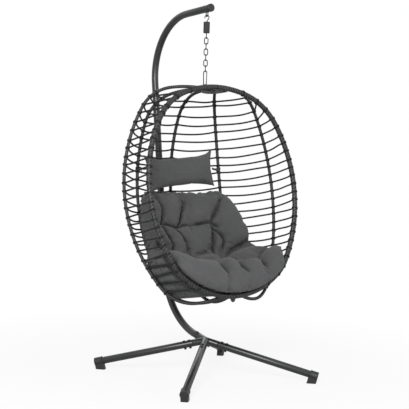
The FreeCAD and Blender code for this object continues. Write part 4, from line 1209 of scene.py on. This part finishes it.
def let_out(mesh, start, points, cap):
    """Moves a mesh from start towards points, by no more than cap and only as far as there is room."""
    move = points - start
    far = np.linalg.norm(move, axis=1)
    move *= (np.minimum(far, cap) / np.maximum(far, 1e-9))[:, None]
    low, high = np.zeros(len(start)), np.ones(len(start))
    for _ in range(7):
        middle = (low + high) / 2
        fits = has_room(in_egg((start + move * middle[:, None]) * 1000.0))
        low, high = np.where(fits, middle, low), np.where(fits, high, middle)
    whole = has_room(in_egg((start + move) * 1000.0))
    share = neighbours_mean(mesh, np.where(whole, 1.0, low)[:, None], 2, 0.5)
    move_to(mesh, start + move * share)


# Seat cushion: slices square to x, measured along rays from a point in the egg, as in the CAD source

cushion_slices = 110
cushion_steps = 80
cushion_voxel = 7.0
soft_factor = 0.6
roll_reach = 84.0
roll_half = 62.0
ray_reach = 410.0           # millimetres of cloth for a radian of ray
# By distance to the side: the rays, in degrees, at which a slice begins and ends
SHAPE_X = (0.0, 150.0, 200.0, 245.0, 275.0, 298.0, 310.0, 316.0, 320.0, 330.0, 354.0, 380.0, 394.0)
FIRST_RAY = (-112.5, -112.5, -112.5, -112.0, -112.0, -111.5, -111.0, -110.5, -110.0, -108.0, -102.0, -93.0,
             -82.0)
LAST_RAY = (18.5, 19.5, 21.5, 22.0, 17.0, 7.0, -6.0, -22.0, -38.0, -46.0, -53.0, -65.0, -79.0)
# By ray: how thick the back is
RAYS = (-60.0, -50.0, -30.0, -10.0, 20.0)
BACK_DEPTH = (156.0, 160.0, 160.0, 154.0, 132.0)
seat_height = -388.0        # top of the seat over the rim's plane, in the egg's frame
seat_slope = 0.27           # its rise towards the back: the egg leans, so most of it is level
seat_side_rise = 84.0
roll_crest = 26.0           # how far the front roll stands over the seat
roll_ray = -99.0
roll_spread = 12.0
least_depth = 14.0
side_start, side_run = 120.0, 260.0     # where the seat begins to rise to the side, and over what distance
seat_ray, seat_blend = -40.0, 16.0      # where the back ends, and how many degrees later the seat has begun
front_ray, front_blend = -80.0, 20.0    # where the front roll begins, and over how many degrees it rounds
edge_radius = 60.0
front_edge_radius = 90.0
edge_lift = 0.3             # how far an edge leaves the wall, as a share of what it is thinner
front_edge_lift = 0.1
wall_gap = 1.0
edge_depth = 4.0
farthest = 700.0


def unrolled(x, ray):
    return np.stack([x, np.radians(ray) * ray_reach], -1)


outline_x = np.concatenate([-np.array(SHAPE_X[:0:-1]), SHAPE_X])
outline_last = unrolled(outline_x, np.array(LAST_RAY[:0:-1] + LAST_RAY))
outline_first = unrolled(outline_x, np.array(FIRST_RAY[:0:-1] + FIRST_RAY))
OUTLINE = np.concatenate([outline_last, outline_first[::-1], outline_last[:1]])


def nearest_on(line, points):
    """Distance of points to a line of straight runs, and how far along the line the nearest spot is."""
    least, place = np.full(len(points), 1e9), np.zeros(len(points))
    run = 0.0
    for a, b in zip(line, line[1:]):
        step = b - a
        length = np.linalg.norm(step)
        share = np.clip(((points - a) @ step) / (length * length), 0, 1)
        away = np.linalg.norm(points - a - share[:, None] * step, axis=1)
        place = np.where(away < least, run + share * length, place)
        least = np.minimum(least, away)
        run += length
    return least, place


def roll_room(points):
    """True where a point before the rim's plane is within the front roll."""
    x, v, h = np.abs(points[:, 0]), points[:, 1], points[:, 2]
    below = np.clip(1.0 - (h - over_rim(x)) / roll_half, 0.0, 1.0)
    return (v >= 0) | (v > -roll_reach * np.sqrt(1.0 - below * below))


def cushion_rings():
    """Closed rings of points round the plain cushion, before its tufts, in the egg's frame."""
    across = np.sin(np.linspace(-pi / 2, pi / 2, cushion_slices + 1) * 0.995) * cushion_half_width
    share = np.linspace(0.0, 1.0, cushion_steps + 1)
    first = np.interp(np.abs(across), SHAPE_X, FIRST_RAY)
    last = np.interp(np.abs(across), SHAPE_X, LAST_RAY)
    rays = first[:, None] + (last - first)[:, None] * share
    x = np.repeat(across[:, None], len(share), 1)
    turn = np.radians(rays)

    def spots(distance):
        v = cushion_centre_v + distance * np.cos(turn)
        h = cushion_centre_h + distance * np.sin(turn)
        return np.stack([x, v, h], 2)

    near, far = np.zeros_like(x), np.full_like(x, farthest)
    for _ in range(22):
        middle = (near + far) / 2
        flat = spots(middle).reshape(-1, 3)
        room = (has_room(flat) & roll_room(flat)).reshape(x.shape)
        near, far = np.where(room, middle, near), np.where(room, far, middle)
    wall = near - wall_gap
    side = np.clip((np.abs(x) - side_start) / side_run, 0.0, 1.0)
    rise = seat_side_rise * side ** 1.6 + roll_crest * np.exp(-((rays - roll_ray) / roll_spread) ** 2)
    level = cushion_centre_h - seat_height - seat_slope * cushion_centre_v - rise
    top = level / (seat_slope * np.cos(turn) - np.sin(turn) + 1e-6)
    top = np.where(top > 0, top, 900.0)
    seat = np.clip((seat_ray - rays) / seat_blend, 0.0, 1.0)
    seat = seat * seat * (3 - 2 * seat)
    back_face = wall - np.interp(rays, RAYS, BACK_DEPTH)
    seat_face = np.minimum(top, wall - least_depth)
    full = wall - (back_face * (1 - seat) + seat_face * seat)
    room = nearest_on(OUTLINE, unrolled(x, rays).reshape(-1, 2))[0].reshape(x.shape)
    front = np.clip((front_ray - rays) / front_blend, 0.0, 1.0)
    radius = edge_radius + (front_edge_radius - edge_radius) * front * (1.0 - side)
    crown = np.sqrt(1.0 - (1.0 - np.clip(room / radius, 0.0, 1.0)) ** 2)
    depth = full * crown
    lift = (full - depth) * np.where(rays < front_ray, front_edge_lift, edge_lift)
    outer = spots(wall - lift)
    inner = spots(wall - lift - depth - edge_depth)
    return np.concatenate([outer, inner[:, ::-1]], 1)


def plain_cushion():
    rings = in_basket(cushion_rings().reshape(-1, 3)).reshape(cushion_slices + 1, -1, 3)
    return melted("cushion_tufted", Form().rings(rings).mesh("cushion_tufted"), cushion_voxel, 6, soft_factor)


cushion = plain_cushion()
cushion_tree = BVHTree.FromObject(cushion, bpy.context.evaluated_depsgraph_get())


def on_cushion(x, ray):
    """A point of the cushion's inner side in metres: x to the side, ray round its slice in degrees."""
    start = in_basket(vec(x, cushion_centre_v, cushion_centre_h)) / 1000.0
    direction = lean_turn @ vec(0, cos(radians(ray)), sin(radians(ray)))
    spot, _, _, _ = cushion_tree.ray_cast(Vector(start), Vector(direction))
    return np.array(spot) if spot else start + direction * 0.3


# Tufts and the creases between them, as (distance to the side, ray)
TUFTS = ((-92, -17), (110, -11), (-223, -17), (-76, -62), (82, -62), (212, -90), (-208, -88))
CREASES = (
    ((-92, -17), (-40, -1), (-3, 12), (-1, 16), (-45, 19)),
    ((110, -11), (162, 5), (202, 18)),
    ((-92, -17), (-33, -13), (36, -12), (75, -12), (110, -11)),
    ((-223, -17), (-208, -7), (-182, 6), (-192, 14), (-206, 20)),
    ((-223, -17), (-173, -15), (-135, -18), (-92, -17)),
    ((-135, -18), (-80, -26), (-60, -36), (-63, -47), (-76, -62)),
    ((-223, -17), (-192, -29), (-168, -37), (-160, -44), (-180, -49)),
    ((110, -11), (113, -20), (105, -31), (98, -40), (92, -46)),
    ((111, -20), (138, -27), (160, -35), (166, -42), (140, -50), (82, -62)),
    ((110, -11), (140, -19)),
    ((82, -62), (140, -53), (198, -48), (256, -47), (312, -45)),
    ((-76, -62), (-140, -53), (-205, -48), (-262, -47), (-312, -45)),
    ((-76, -62), (-36, -66), (4, -64), (40, -64), (82, -62)),
    ((-76, -62), (-62, -77), (-58, -90), (-62, -102), (-66, -110)),
    ((82, -62), (64, -76), (60, -91), (56, -102), (60, -110)),
    ((82, -62), (120, -70), (166, -82), (212, -90)),
    ((-76, -62), (-130, -70), (-168, -80), (-208, -88)),
    ((-208, -88), (-130, -92), (-58, -90)),
    ((60, -91), (130, -94), (212, -90)),
    ((212, -90), (202, -101), (188, -109)),
    ((212, -90), (258, -83), (300, -79)),
    ((-208, -88), (-258, -82), (-300, -79)),
)
# Depths and reaches in metres, distances along and from the outline in millimetres
tuft_radius = 0.012
tuft_sink = 0.044
tuft_reach = 0.085
crease_sink = 0.035
crease_reach = 0.074
seam_sink = 0.018
seam_reach = 0.020
crease_hold = 0.005
crease_end = -105.0            # ray past which a crease goes on down the front of the roll
front_drop = vec(0, 10, -80)
tuft_sink_behind = 0.010
tuft_reach_behind = 0.06
GATHERS = ((1.0, 41.0, 1.7, 71.0), (0.7, 27.0, 1.3, 37.0))    # (share, pitch, drift, run)
pucker_depth = 0.016
pucker_waver, pucker_run = 35.0, 57.0
pucker_reach = 80.0
outer_pucker_share = 1.7
outer_pucker_reach = 125.0
seam_room = 24.0
wall_room = 105.0
cushion_cap = 0.026
cushion_pressure = 4.0
cushion_growth = 0.06
cushion_shrink = 0.002


def hollow(away, reach):
    """1 in a crease, falling steeply to 0 where the lobe beside it is fullest."""
    return 1.0 - np.sqrt(1.0 - (1.0 - np.clip(away / reach, 0.0, 1.0)) ** 2)


def gathers(along, pitch, drift, run):
    """1 in the gathers of a seam, at a pitch that drifts along it."""
    return (1.0 - np.abs(np.sin(pi * along / pitch + drift * np.sin(along / run)))) ** 2


def dress_cushion():
    """Sinks tufts, creases and gathers into the plain cushion, blows it up and lets it out."""
    mesh = cushion.data
    base = coordinates(mesh)
    egg = in_egg(base * 1000.0)
    normals = vertex_normals(mesh)
    radial = np.stack([0 * egg[:, 0], egg[:, 1] - cushion_centre_v, egg[:, 2] - cushion_centre_h], 1)
    radial /= np.linalg.norm(radial, axis=1)[:, None]
    normals_in_egg = normals @ lean_turn
    facing = (normals_in_egg * radial).sum(1)
    outer = (facing > 0.15) & (normals_in_egg[:, 1] > -0.45)
    ray = np.degrees(np.arctan2(radial[:, 2], radial[:, 1]))
    ray = np.where(ray > 90.0, ray - 360.0, ray)
    room, along = nearest_on(OUTLINE, unrolled(egg[:, 0], ray))
    sunk = np.zeros(len(base))
    held = np.zeros(len(base))
    for crease in CREASES:
        line = [on_cushion(x, angle) for x, angle in crease]
        if crease[-1][1] < crease_end:
            line.append(line[-1] + lean_turn @ front_drop / 1000.0)
        away = nearest_on(eased(np.array(line)), base)[0]
        crease_depth = crease_sink * hollow(away, crease_reach) + seam_sink * hollow(away, seam_reach)
        sunk = np.maximum(sunk, crease_depth)
        held = np.maximum(held, (away < crease_hold) * 0.8)
    sunk_behind = np.zeros(len(base))
    for x, angle in TUFTS:
        away = np.linalg.norm(base - on_cushion(x, angle), axis=1)
        sunk = np.maximum(sunk, tuft_sink * hollow(away, tuft_reach))
        held = np.maximum(held, (away < tuft_radius) * 1.0)
        spot = unrolled(np.array(float(x)), np.array(float(angle)))
        behind = np.linalg.norm(unrolled(egg[:, 0], ray) - spot, axis=1) / 1000.0
        sunk_behind = np.maximum(sunk_behind, tuft_sink_behind * hollow(behind, tuft_reach_behind))
    sunk = np.where(outer, sunk_behind, sunk)
    wave = np.max([share * gathers(along, *shape) for share, *shape in GATHERS], axis=0)
    reach = np.where(outer, outer_pucker_reach, pucker_reach) + pucker_waver * np.sin(along / pucker_run)
    fade = np.clip(1.0 - np.abs(room - seam_room) / reach, 0.0, 1.0)
    turned_out = np.clip((facing + 0.45) / 0.4, 0.0, 1.0)
    behind_roll = np.clip((ray + 102.0) / 14.0, 0.0, 1.0)
    sunk += np.where(outer, outer_pucker_share, 1.0) * pucker_depth * wave * fade * turned_out * behind_roll
    start = base - normals * (sunk + cushion_shrink)[:, None]
    held = np.where(outer & (room > wall_room), 1.0, held)
    move_to(mesh, start)
    points = inflated(cushion, held, cushion_pressure, cushion_growth)
    let_out(mesh, start, points, cushion_cap)
    subdivided(cushion)
    settle(cushion, "basket", "grey_canvas", ["seat_cushion"], 180.0)


dress_cushion()


# Head pillow

pillow_voxel = 5.0
pillow_cap = 0.016
pillow_half_width = 0.208
pillow_half_height = 0.078
pillow_turn = radians(5.0)
edge_pull = 0.013
end_pull = 0.012
corner_push = 0.006
pillow_pressure = 3.0
pillow_growth = 0.03
pillow_shrink = 0.003
low_edge_share = 0.45       # the lower edge is pulled in less than the upper one


def dress_pillow():
    """Pulls the pillow's edges in between its corners, blows it up and lets it out."""
    pillow = melted("pillow_soft", nodes["head_pillow"].data.copy(), pillow_voxel, 4, soft_factor)
    mesh = pillow.data
    base = coordinates(mesh)
    normals = vertex_normals(mesh)
    egg = in_egg(base * 1000.0)
    behind = (normals @ lean_turn)[:, 1] > 0.5
    local = base - base.mean(0)
    right = vec(cos(pillow_turn), 0, sin(pillow_turn))
    high = lean_turn @ vec(-sin(pillow_turn), 0, cos(pillow_turn))
    across = np.clip(local @ right / pillow_half_width, -1.15, 1.15)
    up = np.clip(local @ high / pillow_half_height, -1.15, 1.15)
    end = -end_pull * (1 - up ** 2) * np.abs(across) ** 3 + corner_push * np.abs(up * across) ** 3 * (up > 0)
    pull = np.where(up > 0, edge_pull, edge_pull * low_edge_share)
    edge = -pull * (1 - across ** 2) * np.abs(up) ** 3 + corner_push * np.abs(up * across) ** 3
    start = base - normals * pillow_shrink + (end * np.sign(across))[:, None] * right
    start += (edge * np.sign(up))[:, None] * high
    move_to(mesh, start)
    held = np.where(behind & (egg[:, 1] > np.percentile(egg[:, 1], 90)), 1.0, 0.0)
    points = inflated(pillow, held, pillow_pressure, pillow_growth)
    let_out(mesh, start, points, pillow_cap)
    subdivided(pillow)
    settle(pillow, "basket", "grey_canvas", ["head_pillow"], 180.0)


dress_pillow()


# Ties: a ribbon from the pillow's end round the back rib, knotted, with two short tails

tie_width = 12.0
tie_thickness = 1.2
tie_end = 212.0                             # how far out the tie is sewn to the pillow
tie_sag = 6.0
tie_tails = ((13.0, 17.0), (-6.0, 24.0))    # (sideways, down)


def ribbon(form, points, normals, width):
    """A strip of cloth along points, its width square to the path and to the normals."""
    points = np.asarray(points, float)
    tangents = np.gradient(points, axis=0)
    tangents /= np.linalg.norm(tangents, axis=1)[:, None]
    normals = np.asarray(normals, float)
    wide = np.cross(tangents, normals)
    wide /= np.linalg.norm(wide, axis=1)[:, None]
    thick = np.cross(wide, tangents) * (tie_thickness / 2.0)
    wide = wide * (width / 2.0)
    corners = [points - wide - thick, points + wide - thick, points + wide + thick, points - wide + thick]
    return form.rings(np.stack(corners, 1))


def dress_tie(name, side):
    """One tie: a loop round the rib, the ribbon to the pillow, two tails and the knot."""
    height = row_height(tie_row + 0.5)
    spot = back_rib.point(side, height)
    tangent = back_rib.tangent(side, height)
    out = back_rib.outward(side)
    across = np.cross(tangent, out)
    low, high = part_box("head_pillow")
    pillow_middle = in_egg(np.array((low + high) / 2) * 1000.0)
    pillow_end = vec(side * tie_end, float(pillow_middle[1]), height)
    form = Form()
    reach = rib_radius + knot_radius + 1.0
    angles = np.linspace(0, 2 * pi, 33)
    loop = [spot + out * (reach * cos(a)) + across * (reach * sin(a)) for a in angles]
    edges = [in_basket([p + tangent * (end * tie_width / 2.0) for p in loop]) for end in (-1, 1)]
    form.rings(np.stack(edges, 1), caps=False)
    start = spot - out * reach
    share = np.linspace(0, 1, 15)[:, None]
    tail = start + (pillow_end - start) * share - Z * (tie_sag * share * (1 - share) * 4)
    ribbon(form, in_basket(tail), [lean_turn @ np.cross(Z, unit(pillow_end - start))] * 15, tie_width)
    length = 2 * pi * reach + np.linalg.norm(pillow_end - start)
    for sway, drop in tie_tails:
        fall = start + out * -3.0 + (across * sway - Z * drop) * share
        fall = fall + out * (-5.0 * share * (1 - share) * 4)
        ribbon(form, in_basket(fall), [lean_turn @ out] * 15, tie_width * 0.8)
        length += drop
    knot_profile = ((0, 1), (0.6, 5), (3, 6.6), (7, 6.6), (9.4, 5), (10, 1))
    form.turned(in_basket(start - across * 5.0), lean_turn @ across, knot_profile, 14)
    tie = form.piece("tie_" + name, "basket", "grey_canvas", ["pillow_tie_" + name], 45.0, tape)


for name, side in SIDES:
    dress_tie(name, side)


# Floor, light and camera

floor_grey = 0.9
floor_shadow = 0.86     # share of plain white in the floor right under the object
shadow_from, shadow_to = 0.5, 2.4


def glowing(tree, kind, colour, strength):
    made = node(tree, kind)
    made.inputs["Color"].default_value = (*colour, 1.0)
    made.inputs["Strength"].default_value = strength
    return made


def mixed_into(tree, kind, share, first, second):
    """An output node fed with a mix of two shaders."""
    mix = node(tree, "ShaderNodeMixShader")
    tree.links.new(share, mix.inputs["Fac"])
    tree.links.new(first.outputs[0], mix.inputs[1])
    tree.links.new(second.outputs[0], mix.inputs[2])
    tree.links.new(mix.outputs[0], node(tree, kind).inputs["Surface"])


floor_mesh = bpy.data.meshes.new("floor")
floor_mesh.from_pydata([(-9, -9, 0), (9, -9, 0), (9, 9, 0), (-9, 9, 0)], [], [(0, 1, 2, 3)])
floor = bpy.data.objects.new("floor", floor_mesh)
bpy.context.scene.collection.objects.link(floor)
floor_material = bpy.data.materials.new("pale_floor")
floor_material.use_nodes = True
tree = floor_material.node_tree
tree.nodes.clear()
diffuse = node(tree, "ShaderNodeBsdfDiffuse")
diffuse.inputs["Color"].default_value = (floor_grey, floor_grey, floor_grey, 1.0)
white = glowing(tree, "ShaderNodeEmission", (1.0, 1.0, 1.0), 1.0)
light_path = node(tree, "ShaderNodeLightPath")
away = node(tree, "ShaderNodeVectorMath", operation="LENGTH")
tree.links.new(node(tree, "ShaderNodeTexCoord").outputs["Object"], away.inputs[0])
whiteness = node(tree, "ShaderNodeMapRange", interpolation_type="SMOOTHSTEP")
for socket, value in (("From Min", shadow_from), ("From Max", shadow_to),
                      ("To Min", floor_shadow), ("To Max", 1.0)):
    whiteness.inputs[socket].default_value = value
tree.links.new(away.outputs["Value"], whiteness.inputs["Value"])
seen = maths(tree, "MULTIPLY", light_path.outputs["Is Camera Ray"], whiteness.outputs["Result"])
mixed_into(tree, "ShaderNodeOutputMaterial", seen, diffuse, white)
floor_mesh.materials.append(floor_material)

world = bpy.data.worlds.new("studio")
bpy.context.scene.world = world
world.use_nodes = True
tree = world.node_tree
tree.nodes.clear()
soft = glowing(tree, "ShaderNodeBackground", (0.97, 0.98, 1.0), 0.38)
backdrop = glowing(tree, "ShaderNodeBackground", (1.0, 1.0, 1.0), 1.0)
light_path = node(tree, "ShaderNodeLightPath")
seen = maths(tree, "MAXIMUM", light_path.outputs["Is Camera Ray"], light_path.outputs["Is Transmission Ray"])
seen = maths(tree, "MAXIMUM", seen, light_path.outputs["Is Glossy Ray"])
mixed_into(tree, "ShaderNodeOutputWorld", seen, soft, backdrop)


def area_light(name, place, aim, size, power):
    lamp = bpy.data.lights.new(name, "AREA")
    lamp.shape = "DISK"
    lamp.size = size
    lamp.energy = power
    obj = bpy.data.objects.new(name, lamp)
    bpy.context.scene.collection.objects.link(obj)
    obj.location = place
    obj.rotation_euler = (Vector(aim) - Vector(place)).to_track_quat("-Z", "Y").to_euler()


area_light("key", (-2.8, -3.0, 2.5), (0, 0, 0.9), 1.6, 160.0)
area_light("fill", (2.6, -2.8, 1.6), (0, 0, 0.9), 2.8, 20.0)
area_light("back", (1.2, 3.0, 2.8), (0, 0, 1.0), 2.4, 20.0)

camera_azimuth = radians(-35.6519)
camera_elevation = radians(3.5664)
camera_roll = radians(1.7715)
camera_distance = 5.6995
camera_flat = cos(camera_elevation)
camera_back = vec(sin(camera_azimuth) * camera_flat, -cos(camera_azimuth) * camera_flat,
                  sin(camera_elevation))
level = vec(cos(camera_azimuth), sin(camera_azimuth), 0)
upright = np.cross(camera_back, level)
camera_right = level * cos(camera_roll) + upright * sin(camera_roll)
camera_up = upright * cos(camera_roll) - level * sin(camera_roll)
target_height = 0.91059
target_shift = 0.01771
target = vec(0, hang_y / 1000, target_height) + level * target_shift
lens = bpy.data.cameras.new("camera")
lens.sensor_width = 36.0
lens.lens = 93.95
lens.clip_start = 0.05
lens.clip_end = 100.0
camera = bpy.data.objects.new("camera", lens)
bpy.context.scene.collection.objects.link(camera)
turned = np.eye(4)
turned[:3, 0], turned[:3, 1], turned[:3, 2] = camera_right, camera_up, camera_back
turned[:3, 3] = target + camera_back * camera_distance
camera.matrix_world = Matrix(turned.tolist())
bpy.context.scene.camera = camera
bpy.context.scene.view_settings.view_transform = "Standard"
